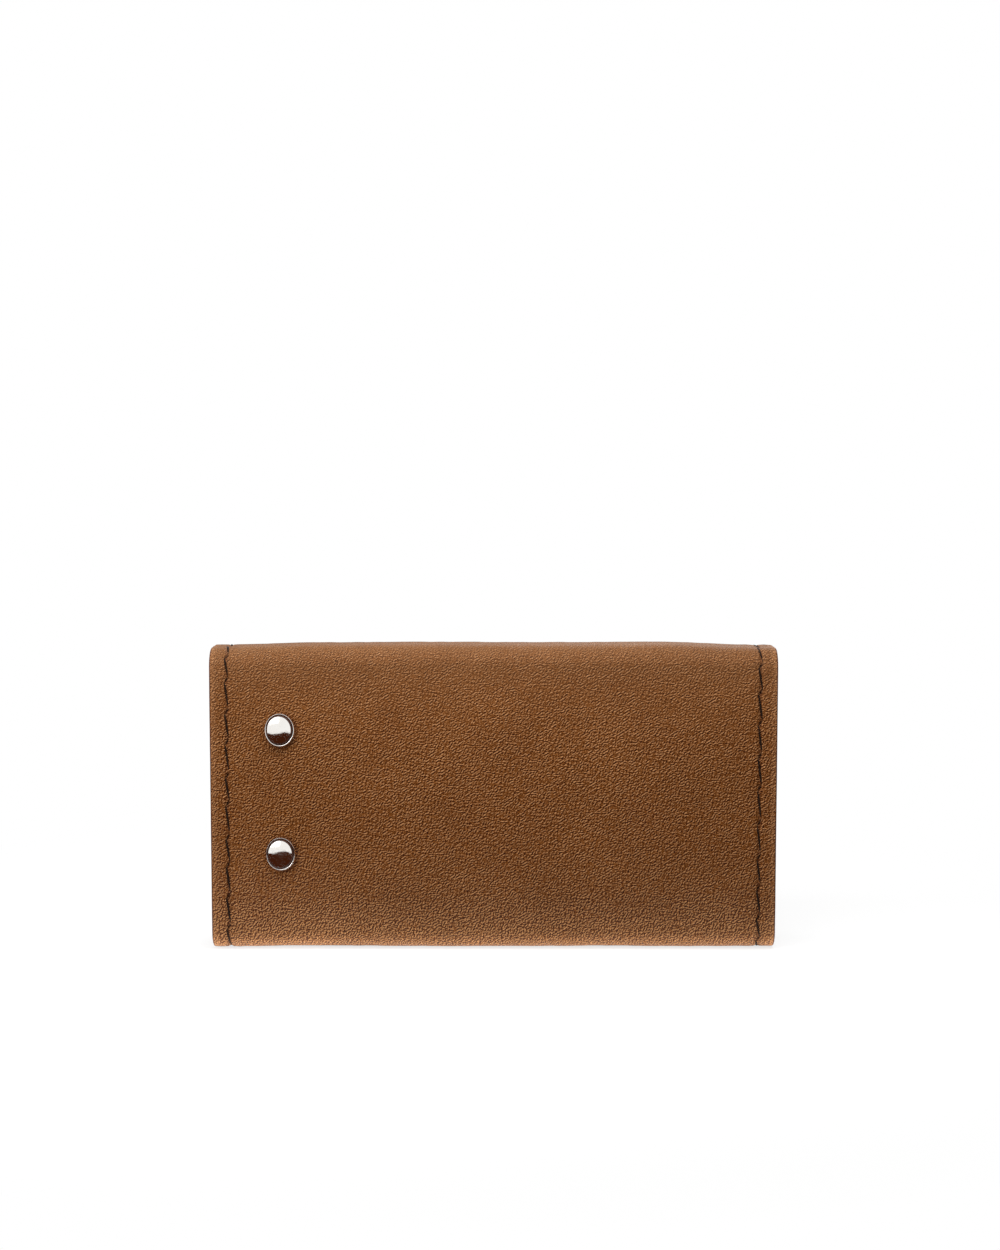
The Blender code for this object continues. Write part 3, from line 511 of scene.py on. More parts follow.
def attach(piece, part):
    """Rides a flat zone's piece on its body; a fold's piece stays where it is, with its transform applied."""
    if part["centre"]:
        start, end = (tuple(place(0, part[key], WALL).tolist()) for key in ("start", "end"))
        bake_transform(piece)
    else:
        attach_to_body(piece, part["bodies"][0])


def strip_layer(label, cad_label, cell, fine, near_depth, far_depth, materials):
    """One layer of the strip, cut at the borders between zones."""
    row_marks = rows(cell, fine)
    x, s = round_corners(*np.meshgrid(columns(cell, fine), row_marks))
    near, far = place(x, s, near_depth(x, s)), place(x, s, far_depth(x, s))
    near_normals, far_normals = face_normals(near, 1), face_normals(far, -1)
    flat = np.stack([x, s], axis=-1)
    worn = wear_and_shade_marks(x, s)
    for part in ZONES:
        first, last = (int(np.argmin(np.abs(row_marks - part[key]))) for key in ("start", "end"))
        here = slice(first, last + 1)
        piece = closed_sheet(
            f"{part['name']}_{label}",
            *(grid[here] for grid in (near, far, near_normals, far_normals, flat)),
            {key: values[here] for key, values in worn.items()},
            label == "skin",
            materials,
        )
        attach(piece, part)
        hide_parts(f"{part['name']}_{cad_label}")


def wear_and_shade_marks(x, s):
    """What the material follows: how near edge, seam, hole and rivet are, for edge wear, edge paint and
    painted shade; how pale the folds are, for wear and painted sheen; how full a grain and its painted relief
    light and shade.
    """
    return {
        "cut_edge": edge_distance(x, s) / MM,
        "seam": bell(edge_distance(x, s) - SEAM_INSET, SEAM_SHADE_REACH),
        "hole": bell(hole_distance(x, s), HOLE_SHADE_REACH),
        # Painted shade round the rivets and the press stud follows how far the leather is pressed in there
        "rivet": rivet_relief(x, s) / RIVET_PRESS,
        "rubbed": rubbed_and_sheen_share(s),
        "grain": grain_and_shade_share(s),
    }


def belly(x, s):
    """1 in the middle of the back panel, rolling off towards its upper fold and its ends."""
    length = ZONE["back"]["length"]
    height = s - ZONE["back"]["start"]
    rolled = 1 - smoothstep((height / length - BELLY_ROLL) / (1 - BELLY_ROLL))
    rolled *= 1 - smoothstep((np.abs(x) - BELLY_MIDDLE) / (HALF_LENGTH - BELLY_MIDDLE))
    return rolled * smoothstep(height / (BELLY_FOOT * length))


def swell(x, s):
    """How far the leather stands out, in soft hills and over the keys inside."""
    hills = SWELL * cloudy(x, s, SWELL_SIZE, SEED) + RIPPLE * cloudy(x, s, RIPPLE_SIZE, SEED + 1)
    return hills + BELLY * belly(x, s)


def outer_depth(x, s):
    return cut_rounding(x, s, CUT_ROUNDING) + seam_relief(x, s) + rivet_relief(x, s) + SKIN_SINK - swell(x, s)


def middle_depth(x, s):
    return np.full_like(x, LINING_START)


def inner_depth(x, s):
    furrow = INSIDE_FURROW * FURROW_DEPTH * bell(edge_distance(x, s) - SEAM_INSET, FURROW_WIDTH)
    return WALL - (cut_rounding(x, s, CUT_ROUNDING / 2) + furrow)


# Node trees


def feed(tree, socket, value):
    """Links a socket's value in, or sets it."""
    if isinstance(value, bpy.types.NodeSocket):
        tree.links.new(value, socket)
    else:
        socket.default_value = value


def node(tree, kind, inputs=None, **settings):
    made = tree.nodes.new(kind)
    for key, value in settings.items():
        setattr(made, key, value)
    for key, value in (inputs or {}).items():
        feed(tree, made.inputs[key], value)
    return made


def maths(tree, operation, *values):
    made = node(tree, "ShaderNodeMath", dict(enumerate(values)), operation=operation)
    return made.outputs[0]


def times(tree, first, second):
    return maths(tree, "MULTIPLY", first, second)


def vector_maths(tree, operation, first, second):
    return node(tree, "ShaderNodeVectorMath", {0: first, 1: second}, operation=operation).outputs[0]


def scaled(tree, vector, scale):
    return node(tree, "ShaderNodeVectorMath", {0: vector, "Scale": scale}, operation="SCALE").outputs[0]


def new_group(kind, name, inputs, outputs):
    """An empty node group with its sockets, its input node and its output node."""
    tree = bpy.data.node_groups.new(name, kind)
    for label, socket_type, value in inputs:
        socket = tree.interface.new_socket(label, in_out="INPUT", socket_type=socket_type)
        if value is not None:
            socket.default_value = value
    for label, socket_type in outputs:
        tree.interface.new_socket(label, in_out="OUTPUT", socket_type=socket_type)
    return tree, tree.nodes.new("NodeGroupInput").outputs, tree.nodes.new("NodeGroupOutput").inputs


def spread(tree, value, from_low, from_high, to_low=0.0, to_high=1.0):
    labels = ("Value", "From Min", "From Max", "To Min", "To Max")
    values = dict(zip(labels, (value, from_low, from_high, to_low, to_high)))
    return node(tree, "ShaderNodeMapRange", values).outputs["Result"]


def noise(tree, vector, scale, detail=3.0, roughness=0.55, distortion=0.0, output="Fac"):
    labels = ("Vector", "Scale", "Detail", "Roughness", "Distortion")
    values = dict(zip(labels, (vector, scale, detail, roughness, distortion)))
    return node(tree, "ShaderNodeTexNoise", values).outputs[output]


def mixed(tree, factor, low, high, blend="MIX"):
    """Two colours mixed, at the node's sockets for colours."""
    values = {0: factor, 6: low, 7: high}
    return node(tree, "ShaderNodeMix", values, data_type="RGBA", blend_type=blend).outputs[2]


def new_material(name, **constants):
    """A material and its nodes, with the constants that hold all over the surface."""
    made = bpy.data.materials.new(name)
    made.use_nodes = True
    shader = made.node_tree.nodes["Principled BSDF"].inputs
    for key, value in constants.items():
        shader[key.replace("_", " ")].default_value = value
    return made, made.node_tree


def surface(tree, colour, roughness, height=None, depth=0.0):
    """Gives a material its colour, its roughness and its bump."""
    shader = tree.nodes["Principled BSDF"].inputs
    feed(tree, shader["Base Color"], colour)
    feed(tree, shader["Roughness"], roughness)
    if height is not None:
        bump = node(tree, "ShaderNodeBump", {"Height": height, "Distance": depth, "Strength": 1.0})
        feed(tree, shader["Normal"], bump.outputs["Normal"])


def flat_place(tree):
    """The place on the flat strip, in millimetres."""
    return scaled(tree, node(tree, "ShaderNodeUVMap", uv_map="strip").outputs["UV"], 1 / MM)


def solid_place(tree):
    """The place in the object, in millimetres."""
    return scaled(tree, node(tree, "ShaderNodeTexCoord").outputs["Object"], 1 / MM)


def mark(tree, name):
    return node(tree, "ShaderNodeAttribute", attribute_name=name).outputs["Fac"]


# Effects that materials share

GRAIN_SIZE = 0.2
RIDGE_ANGLE = math.radians(-32)
RIDGE_STRETCH = (0.65, 1.1, 1.0)
RIDGE_DRIFT = 0.6
RIDGE_SCALE = 0.7
# How far to either side the ridges are sampled for their painted relief light and shade
SHADE_FLANK_STEP = (0.0, 0.77, 0.0)
SPECK_SPREAD = 0.16
# Each way of scratches: its turn in degrees, and how thin they are
SCRATCHES = ((20, 9.0), (-55, 12.0), (80, 7.0))


def build_grain():
    """Leather's fine grain: low ridges that run one way, finer pores, specks and soft patches, and a tone
    with painted relief light and shade, one flank of each ridge lighter and the other darker.
    """
    tree, given, out = new_group(
        "ShaderNodeTree",
        "leather_grain",
        [("Place", "NodeSocketVector", None), ("Size", "NodeSocketFloat", GRAIN_SIZE)],
        [(label, "NodeSocketFloat") for label in ("Height", "Tone_and_shade", "Specks", "Mottle")],
    )
    small = scaled(tree, given["Place"], maths(tree, "DIVIDE", 1.0, given["Size"]))
    slant = {"Vector": small, "Angle": RIDGE_ANGLE}
    across = node(tree, "ShaderNodeVectorRotate", slant, rotation_type="Z_AXIS").outputs[0]
    drawn_out = vector_maths(tree, "MULTIPLY", across, RIDGE_STRETCH)
    drift = noise(tree, drawn_out, 0.35, 2.0, output="Color")
    drift = scaled(tree, vector_maths(tree, "SUBTRACT", drift, (0.5, 0.5, 0.5)), RIDGE_DRIFT)
    bent = vector_maths(tree, "ADD", drawn_out, drift)
    ridges = noise(tree, bent, RIDGE_SCALE, 0.0)
    # Painted relief light and shade: the ridges a step to either side, their difference painted lighter on
    # one flank and darker on the other
    beside = [vector_maths(tree, way, bent, SHADE_FLANK_STEP) for way in ("SUBTRACT", "ADD")]
    lit_and_shaded_flanks = [noise(tree, spot, RIDGE_SCALE, 0.0) for spot in beside]
    pores = maths(tree, "SUBTRACT", noise(tree, small, 0.9, 2.0, 0.6), 0.5)
    height = maths(tree, "MULTIPLY_ADD", pores, 0.3, spread(tree, ridges, 0.33, 0.67))
    feed(tree, out["Height"], height)
    tone_and_shade = maths(tree, "MULTIPLY_ADD", maths(tree, "SUBTRACT", *lit_and_shaded_flanks), 2.1, 0.5)
    tone_and_shade = maths(tree, "MULTIPLY_ADD", maths(tree, "SUBTRACT", ridges, 0.5), 0.5, tone_and_shade)
    feed(tree, out["Tone_and_shade"], maths(tree, "MULTIPLY_ADD", pores, 0.6, tone_and_shade))
    dots = node(tree, "ShaderNodeTexVoronoi", {"Vector": given["Place"], "Scale": SPECK_SPREAD}).outputs
    pick = node(tree, "ShaderNodeSeparateXYZ", {"Vector": dots["Color"]}).outputs["X"]
    size = spread(tree, pick, 0.45, 1.0, 0.0, 0.045)
    feed(tree, out["Specks"], spread(tree, maths(tree, "SUBTRACT", dots["Distance"], size), 0.0, -0.012))
    wide = noise(tree, given["Place"], 0.07, 4.0, 0.6)
    close = noise(tree, given["Place"], 0.33, 4.0, 0.65)
    feed(tree, out["Mottle"], maths(tree, "MULTIPLY_ADD", close, 0.4, times(tree, wide, 0.6)))
    return tree


def build_handling():
    """Marks of handling on metal: fine scratches all ways, and soft smudges."""
    tree, given, out = new_group(
        "ShaderNodeTree",
        "handling",
        [("Place", "NodeSocketVector", None)],
        [(label, "NodeSocketFloat") for label in ("Scratches", "Smudges")],
    )
    total = None
    for turn, stretch in SCRATCHES:
        way = (math.radians(turn), math.radians(turn / 2), 0)
        values = {"Vector": given["Place"], "Rotation": way, "Scale": (0.35, stretch, stretch)}
        line = node(tree, "ShaderNodeMapping", values).outputs[0]
        lines = spread(tree, noise(tree, line, 1.0, 1.0), 0.66, 0.74)
        total = lines if total is None else maths(tree, "MAXIMUM", total, lines)
    feed(tree, out["Scratches"], total)
    feed(tree, out["Smudges"], spread(tree, noise(tree, given["Place"], 0.6, 4.0, 0.6, 0.8), 0.35, 0.7))
    return tree


GRAIN = build_grain()
HANDLING = build_handling()


def grouped(tree, group, **inputs):
    return node(tree, "ShaderNodeGroup", inputs, node_tree=group).outputs


# Materials

GRAIN_DEPTH = 0.17 * MM
GRAIN_DEEPEST = 1.25
LINING_GRAIN_SIZE = 0.34
LINING_GRAIN_DEPTH = 0.05 * MM
PAINT_DEPTH = 0.12 * MM
FIBRE_DEPTH = 0.05 * MM
GROOVE_BUMP_DEPTH = 0.03 * MM
SCRATCH_DEPTH = 0.01 * MM
# Fine brush lines along the steel
BRUSH_STRETCH = (0.4, 14.0, 14.0)


def build_brown_leather():
    made, tree = new_material("brown_leather", Specular_IOR_Level=0.05)
    grain = grouped(tree, GRAIN, Place=flat_place(tree), Size=GRAIN_SIZE)
    grain_and_shade_strength, rubbed = mark(tree, "grain"), mark(tree, "rubbed")
    # The grain's tone with its painted relief light and shade, stronger where the grain is fuller
    tone_and_shade = maths(tree, "MULTIPLY_ADD", maths(tree, "SUBTRACT", grain["Tone_and_shade"], 0.5), grain_and_shade_strength, 0.5)
    worn = spread(tree, mark(tree, "cut_edge"), 1.6, 0.35, 0.0, 0.4)
    # Ramped from dark through middle and light tones to pale: the darkest and palest carry the painted relief
    # shade and highlights
    colour = LEATHER_DARK
    for share, tone, *blend in (
        (spread(tree, tone_and_shade, 0.0, 0.5), LEATHER_MIDDLE),
        (spread(tree, tone_and_shade, 0.5, 1.0), LEATHER_LIGHT),
        (spread(tree, tone_and_shade, 1.0, 1.5), LEATHER_PALE_HIGHLIGHT),
        # Paler and greyer on the folds: partly wear, partly painted sheen
        (times(tree, rubbed, 0.6), LEATHER_RUBBED_SHEEN),
        (times(tree, grain["Specks"], 0.8), LEATHER_SPECK_AND_HOLE_SHADE),
        (spread(tree, grain["Mottle"], 0.35, 0.65), LEATHER_MOTTLE, "MULTIPLY"),
        (times(tree, worn, grain["Height"]), LEATHER_WORN),
        # Painted shade in the seam's furrow
        (spread(tree, mark(tree, "seam"), 0.1, 1.0, 0.0, 0.4), LEATHER_SHADE_AND_GLUE),
        # Painted shadow in the stitch holes
        (spread(tree, mark(tree, "hole"), 0.1, 0.8), LEATHER_SPECK_AND_HOLE_SHADE),
        # Painted shade round the rivets and the press stud, where the leather is pressed in
        (spread(tree, mark(tree, "rivet"), 0.3, 1.0, 0.0, 0.7), LEATHER_SHADE_AND_GLUE),
        (spread(tree, mark(tree, "cut_edge"), 0.4, 0.15), EDGE_PAINT),
    ):
        colour = mixed(tree, share, colour, tone, *blend)
    height = times(tree, spread(tree, rubbed, 0.0, 1.0, 1.0, 0.35), grain["Height"])
    height = times(tree, height, maths(tree, "MINIMUM", grain_and_shade_strength, GRAIN_DEEPEST))
    surface(tree, colour, spread(tree, grain["Height"], 0.2, 1.0, 0.78, 0.56), height, GRAIN_DEPTH)
    return made


def build_lining():
    made, tree = new_material("lining_leather", Sheen_Weight=0.08, Sheen_Roughness=0.4)
    grain = grouped(tree, GRAIN, Place=flat_place(tree), Size=LINING_GRAIN_SIZE)
    # The lining's tone with the grain's painted relief light and shade
    colour = mixed(tree, spread(tree, grain["Tone_and_shade"], -0.6, 1.6), LINING_DARK, LINING_LIGHT)
    colour = mixed(tree, spread(tree, grain["Mottle"], 0.35, 0.65), colour, LEATHER_MOTTLE, "MULTIPLY")
    # Painted shade in the lining's seam furrow
    colour = mixed(tree, spread(tree, mark(tree, "seam"), 0.2, 1.0, 0.0, 0.5), colour, LEATHER_SHADE_AND_GLUE)
    roughness = spread(tree, grain["Height"], 0.1, 0.8, 0.66, 0.5)
    surface(tree, colour, roughness, grain["Height"], LINING_GRAIN_DEPTH)
    return made


def build_cut_edge():
    """The cut edges: layers of leather under worn edge paint."""
    made, tree = new_material("edge_paint", Specular_IOR_Level=0.12)
    rough = noise(tree, solid_place(tree), 2.6, 5.0, 0.65)
    colour = mixed(tree, spread(tree, rough, 0.35, 0.65), EDGE_PAINT, EDGE_PAINT_WORN)
    broken = spread(tree, rough, 0.7, 0.4, 0.3, 1.0)
    glue_line = times(tree, spread(tree, mark(tree, "glue"), 0.8, 0.97), broken)
    colour = mixed(tree, glue_line, colour, LEATHER_SHADE_AND_GLUE)
    surface(tree, colour, spread(tree, rough, 0.3, 0.7, 0.42, 0.62), rough, PAINT_DEPTH)
    return made


def build_flesh():
    """The unseen inner sides of the layers, where they are glued."""
    made, tree = new_material("leather_flesh")
    fibres = noise(tree, solid_place(tree), 4.0, 5.0, 0.7)
    colour = mixed(tree, fibres, LINING_DARK, LEATHER_LIGHT)
    surface(tree, colour, spread(tree, fibres, 0.2, 0.8, 0.95, 0.8))
    return made


def build_thread():
    made, tree = new_material("waxed_thread", Specular_IOR_Level=0.06)
    where = solid_place(tree)
    fibres = noise(tree, where, 11.0, 3.0, 0.7, 0.6)
    wax = noise(tree, where, 0.8)
    colour = mixed(tree, spread(tree, fibres, 0.3, 0.7), THREAD_DARK, THREAD_LIGHT)
    surface(tree, colour, spread(tree, wax, 0.3, 0.7, 0.5, 0.8), fibres, FIBRE_DEPTH)
    return made


def build_metal(name, colour, worn_colour, smooth, rough, brushed):
    made, tree = new_material(name, Metallic=1.0)
    where = solid_place(tree)
    marks = grouped(tree, HANDLING, Place=where)
    lines = node(tree, "ShaderNodeMapping", {"Vector": where, "Scale": BRUSH_STRETCH}).outputs[0]
    grain = noise(tree, lines, 1.0, 3.0, 0.6)
    tone = mixed(tree, times(tree, marks["Smudges"], 0.5), colour, worn_colour)
    tone = mixed(tree, times(tree, marks["Scratches"], 0.4), tone, worn_colour)
    roughness = spread(tree, marks["Smudges"], 0.0, 1.0, smooth, rough)
    roughness = maths(tree, "MULTIPLY_ADD", marks["Scratches"], 0.12, roughness)
    height = maths(tree, "MULTIPLY_ADD", grain, brushed, times(tree, marks["Scratches"], -0.06))
    surface(tree, tone, roughness, height, SCRATCH_DEPTH)
    return made


def build_groove_shade():
    """Painted shade in the groove round a rivet's face: a dark colour in place of the shade and dark
    reflections there.
    """
    made, tree = new_material("rivet_groove_shade", Specular_IOR_Level=0.2)
    patches = noise(tree, solid_place(tree), 3.0, 4.0, 0.6)
    colour = mixed(tree, spread(tree, patches, 0.35, 0.65), THREAD_DARK, LEATHER_SHADE_AND_GLUE)
    surface(tree, colour, spread(tree, patches, 0.3, 0.7, 0.4, 0.7), patches, GROOVE_BUMP_DEPTH)
    return made


def shade(red, green, blue):
    """A colour as it is named on a screen, turned to the linear values that a shader takes."""
    parts = (part / 255 for part in (red, green, blue))
    return tuple(p / 12.92 if p <= 0.04 else ((p + 0.055) / 1.055) ** 2.4 for p in parts) + (1,)


# The leather's tones, ramped by the grain's tone and its painted relief light and shade: the dark end is
# painted shade, the pale end painted highlight
LEATHER_DARK = shade(44, 9, 0)
LEATHER_MIDDLE = shade(94, 51, 10)
LEATHER_LIGHT = shade(132, 94, 62)
LEATHER_PALE_HIGHLIGHT = shade(152, 109, 69)
LEATHER_MOTTLE = shade(236, 232, 226)
LEATHER_WORN = shade(160, 116, 80)
# Greyish pale of the folds: partly wear, partly painted sheen
LEATHER_RUBBED_SHEEN = shade(94, 70, 50)
# Dark brown for painted shade in the seam's furrow, round the rivets and in their grooves, and for the glue
# line of the cut edges
LEATHER_SHADE_AND_GLUE = shade(62, 28, 12)
# Dark brown for the grain's specks and for painted shadow in the stitch holes
LEATHER_SPECK_AND_HOLE_SHADE = shade(34, 18, 10)
EDGE_PAINT = shade(70, 34, 13)
EDGE_PAINT_WORN = shade(118, 72, 40)
LINING_DARK = shade(64, 38, 22)
LINING_LIGHT = shade(98, 62, 38)
THREAD_DARK = shade(12, 6, 3)
THREAD_LIGHT = shade(34, 19, 10)

BROWN_LEATHER = build_brown_leather()
LINING = build_lining()
CUT_EDGE = build_cut_edge()
FLESH = build_flesh()
THREAD = build_thread()
GROOVE_SHADE = build_groove_shade()
NICKEL = build_metal("polished_nickel", shade(244, 241, 236), shade(232, 228, 222), 0.05, 0.11, 0.0)
SATIN_STEEL = build_metal("satin_steel", shade(200, 198, 194), shade(168, 164, 158), 0.24, 0.38, 1.0)


# Leather and lining

strip_layer(
    "skin", "leather", CELL, FINE_CELL, outer_depth, middle_depth,
    [BROWN_LEATHER, FLESH, CUT_EDGE],
)
strip_layer(
    "inside", "lining", LINING_CELL, LINING_CELL / 2, middle_depth, inner_depth,
    [FLESH, LINING, CUT_EDGE],
)


# Thread


def build_thread_tree():
    """Sweeps a three-ply twisted thread along every line of a mesh."""
    tree, given, out = new_group(
        "GeometryNodeTree",
        "twisted_thread",
        [
            ("Geometry", "NodeSocketGeometry", None),
            ("Radius", "NodeSocketFloat", THREAD_RADIUS),
            ("Twist", "NodeSocketFloat", float(THREAD_TWIST)),
            ("Spacing", "NodeSocketFloat", THREAD_SPACING),
            ("Material", "NodeSocketMaterial", None),
        ],
        [("Geometry", "NodeSocketGeometry")],
    )
    curve = node(tree, "GeometryNodeMeshToCurve", {"Mesh": given["Geometry"]}).outputs["Curve"]
    even = {"Curve": curve, "Length": given["Spacing"]}
    curve = node(tree, "GeometryNodeResampleCurve", even, mode="LENGTH").outputs["Curve"]
    length = node(tree, "GeometryNodeSplineParameter").outputs["Length"]
    twisted = {"Curve": curve, "Tilt": times(tree, length, given["Twist"])}
    curve = node(tree, "GeometryNodeSetCurveTilt", twisted).outputs["Curve"]
    circle = {"Resolution": THREAD_SIDES, "Radius": given["Radius"]}
    ring = node(tree, "GeometryNodeCurvePrimitiveCircle", circle).outputs["Curve"]
    position = node(tree, "GeometryNodeInputPosition").outputs["Position"]
    split = node(tree, "ShaderNodeSeparateXYZ", {"Vector": position}).outputs
    angle = maths(tree, "ARCTAN2", split["Y"], split["X"])
    lobes = maths(tree, "COSINE", times(tree, angle, float(THREAD_PLIES)))
    bulge = scaled(tree, position, times(tree, lobes, THREAD_LOBE))
    ring = node(tree, "GeometryNodeSetPosition", {"Geometry": ring, "Offset": bulge}).outputs["Geometry"]
    swept = {"Curve": curve, "Profile Curve": ring, "Fill Caps": True}
    mesh = node(tree, "GeometryNodeCurveToMesh", swept).outputs["Mesh"]
    mesh = node(tree, "GeometryNodeSetShadeSmooth", {"Geometry": mesh}).outputs["Geometry"]
    mesh = node(tree, "GeometryNodeRealizeInstances", {"Geometry": mesh}).outputs["Geometry"]
    waxed = {"Geometry": mesh, "Material": given["Material"]}
    mesh = node(tree, "GeometryNodeSetMaterial", waxed).outputs["Geometry"]
    feed(tree, out["Geometry"], mesh)
    return tree


def plain_mesh(made):
    """The shape of an object with its modifiers, as a mesh of its own."""
    return bpy.data.meshes.new_from_object(made.evaluated_get(bpy.context.evaluated_depsgraph_get()))


def grown(name, base, tree, **values):
    """A plain mesh piece made from a base mesh by a Geometry Nodes tree."""
    source = link(name + "_base", base)
    modifier = source.modifiers.new("grow", "NODES")
    modifier.node_group = tree
    for item in tree.interface.items_tree:
        if item.item_type == "SOCKET" and item.in_out == "INPUT" and item.name in values:
            modifier[item.identifier] = values[item.name]
    shape = plain_mesh(source)
    bpy.data.objects.remove(source)
    return link(name, shape)


def sew():
    """The thread of each zone as one mesh, its stitches on the leather's side and on the lining's."""
    tree = build_thread_tree()
    lines = {part["name"]: [] for part in ZONES}
    for path, start, end in STITCHES:
        for outer in (True, False):
            lines[stitch_zone(path, start, end)].append(stitch_line(path, start, end, outer))
    for part in (part for part in ZONES if lines[part["name"]]):
        points = np.concatenate(lines[part["name"]])
        count = len(lines[part["name"]])
        firsts = [n * STITCH_POINTS + i for n in range(count) for i in range(STITCH_POINTS - 1)]
        base = bpy.data.meshes.new("stitch_lines")
        base.from_pydata(points.tolist(), [(first, first + 1) for first in firsts], [])
        piece = grown(f"{part['name']}_thread", base, tree, Material=THREAD)
        attach(piece, part)
        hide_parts(*SEWN_NODES[part["name"]])


LOWER_SEAMS = ("lower_seam_left", "lower_seam_right")
UPPER_SEAMS = ("upper_seam_left", "upper_seam_right")
SEWN_NODES = {
    "front_flap": ("front_flap_seam",),
    "lower_front_fold": LOWER_SEAMS,
    "lower_spine": LOWER_SEAMS,
    "lower_back_fold": LOWER_SEAMS,
    "back": ("back_seam_left", "back_seam_right"),
    "upper_back_fold": UPPER_SEAMS,
    "upper_spine": UPPER_SEAMS,
    "upper_front_fold": UPPER_SEAMS,
    "inner_flap": ("inner_flap_seam",),
}
sew()


# Metal

MERGED = 1e-6
FLAT_ANGLE = math.radians(1)
BEVEL_ANGLE = math.radians(30)
BEVEL_STEPS = 3
DRESSED_CREASE = 40
TURNED_CREASE = 35
TURNED_STEPS = 72

# A rivet's cap: the width of its face as a share of the cap's, and how far its parts drop
RIVET_FACE = 0.78
RIVET_DOME = 0.24 * MM
RIVET_SHOULDER = 0.45 * MM
RIVET_LIP = 0.1 * MM
RIVET_SEAT = 0.16 * MM
RIVET_LEAN = (-0.15, 0.17)
# The bands of its profile, counted from its middle, that the groove's painted shade takes up
GROOVE_SHADE_BANDS = range(13, 22)

# The press stud's cap, in the same way
STUD_FACE = 0.86
STUD_DOME = 0.22 * MM
STUD_SEAT = 0.1 * MM


def smooth_by_angle(mesh, degrees):
    """Smooth shading with sharp edges past an angle."""
    work = bmesh.new()
    work.from_mesh(mesh)
    for face in work.faces:
        face.smooth = True
    for edge in work.edges:
        edge.smooth = len(edge.link_faces) == 2 and edge.calc_face_angle() < math.radians(degrees)
    work.to_mesh(mesh)
    work.free()


def dressed(cad_node, body, bevel, material):
    """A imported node's own shape with its facets merged and its edges rounded."""
    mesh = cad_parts[cad_node].data.copy()
    work = bmesh.new()
    work.from_mesh(mesh)
    bmesh.ops.remove_doubles(work, verts=work.verts, dist=MERGED)
    bmesh.ops.dissolve_limit(work, angle_limit=FLAT_ANGLE, verts=work.verts, edges=work.edges)
    work.to_mesh(mesh)
    work.free()
    made = link(cad_node + "_metal", mesh, material)
    rounding = made.modifiers.new("rounding", "BEVEL")
    rounding.width = bevel
    rounding.segments = BEVEL_STEPS
    rounding.limit_method = "ANGLE"
    rounding.angle_limit = BEVEL_ANGLE
    rounding.use_clamp_overlap = True
    shape = plain_mesh(made)
    made.modifiers.clear()
    made.data = shape
    smooth_by_angle(shape, DRESSED_CREASE)
    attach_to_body(made, body)
    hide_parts(cad_node)


def turned(name, profile, centre, direction, material, wide, tall, tilt, lean):
    """A round or oval piece on a face, turned from a profile of radius and height from axis to axis."""
    around = np.linspace(0, 2 * math.pi, TURNED_STEPS, endpoint=False)
    points, faces, rings = [], [], []
    for radius, height in profile:
        if radius == 0:
            rings.append([len(points)])
            points.append((0, 0, height))
        else:
            rings.append(list(range(len(points), len(points) + TURNED_STEPS)))
            x, y = lean[0] * height, lean[1] * height
            wide_here, tall_here = wide * radius, tall * radius
            points += [(wide_here * math.cos(a) + x, tall_here * math.sin(a) + y, height) for a in around]
    for low, high in zip(rings, rings[1:]):
        for step in range(TURNED_STEPS):
            after = (step + 1) % TURNED_STEPS
            if len(low) == 1:
                faces.append((low[0], high[step], high[after]))
            elif len(high) == 1:
                faces.append((low[step], high[0], low[after]))
            else:
                faces.append((low[step], high[step], high[after], low[after]))
    mesh = bpy.data.meshes.new(name)
    mesh.from_pydata(points, [], faces)
    work = bmesh.new()
    work.from_mesh(mesh)
    bmesh.ops.recalc_face_normals(work, faces=work.faces)
    work.to_mesh(mesh)
    work.free()
    facing = Matrix.Rotation(-direction * math.pi / 2, 4, "X")
    mesh.transform(Matrix.Translation(centre) @ Matrix.Rotation(tilt, 4, "X") @ facing)
    smooth_by_angle(mesh, TURNED_CREASE)
    return link(name, mesh, material)


def rivet_profile(rise):
    """A domed face with a steep shoulder, and a rolled rim round it, as shares of the cap's half width."""
    face = [(RIVET_FACE * t, rise - RIVET_DOME * t**2.3) for t in np.linspace(0, 1, 14)]
    edge = face[-1][1]
    turns = np.linspace(0.3, math.pi / 2, 6)
    shoulder = [(RIVET_FACE + 0.095 * math.sin(a), edge - RIVET_SHOULDER * (1 - math.cos(a))) for a in turns]
    foot, lip = shoulder[-1][1] - 0.02 * MM, RIVET_LIP
    rim = [
        (0.945 + 0.055 * math.sin(a), foot + lip * math.cos(a) if a < 0 else (foot + lip) * math.cos(a))
        for a in np.linspace(-1.1, math.pi / 2, 12)
    ]
    return face + shoulder + rim + [(1.0, -lip), (0.93, -RIVET_SEAT), (0, -RIVET_SEAT)]


def seated(name, cad_node, body, profile, direction, material, face, oval=False, tilt=0.0, lean=(0, 0)):
    """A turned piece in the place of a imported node."""
    low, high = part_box(cad_node)
    centre = ((low.x + high.x) / 2, face, (low.z + high.z) / 2)
    wide, tall = ((high.x - low.x) / 2, (high.z - low.z) / 2) if oval else (1.0, 1.0)
    piece = turned(name, profile, centre, direction, material, wide, tall, tilt, lean)
    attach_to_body(piece, body)
    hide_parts(cad_node)
    return piece


for level, tilt in (("upper", -1.0), ("lower", -2.6)):
    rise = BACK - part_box(f"rivet_cap_{level}")[0].y
    rivet = seated(
        f"rivet_{level}", f"rivet_cap_{level}", "back", rivet_profile(rise), -1, NICKEL, BACK,
        oval=True, tilt=math.radians(tilt), lean=RIVET_LEAN,
    )
    # Painted shade on the groove's bands
    rivet.data.materials.append(GROOVE_SHADE)
    for face in rivet.data.polygons:
        if face.index // TURNED_STEPS in GROOVE_SHADE_BANDS:
            face.material_index = 1
    dressed(f"rivet_foot_{level}", "back", 0.15 * MM, NICKEL)

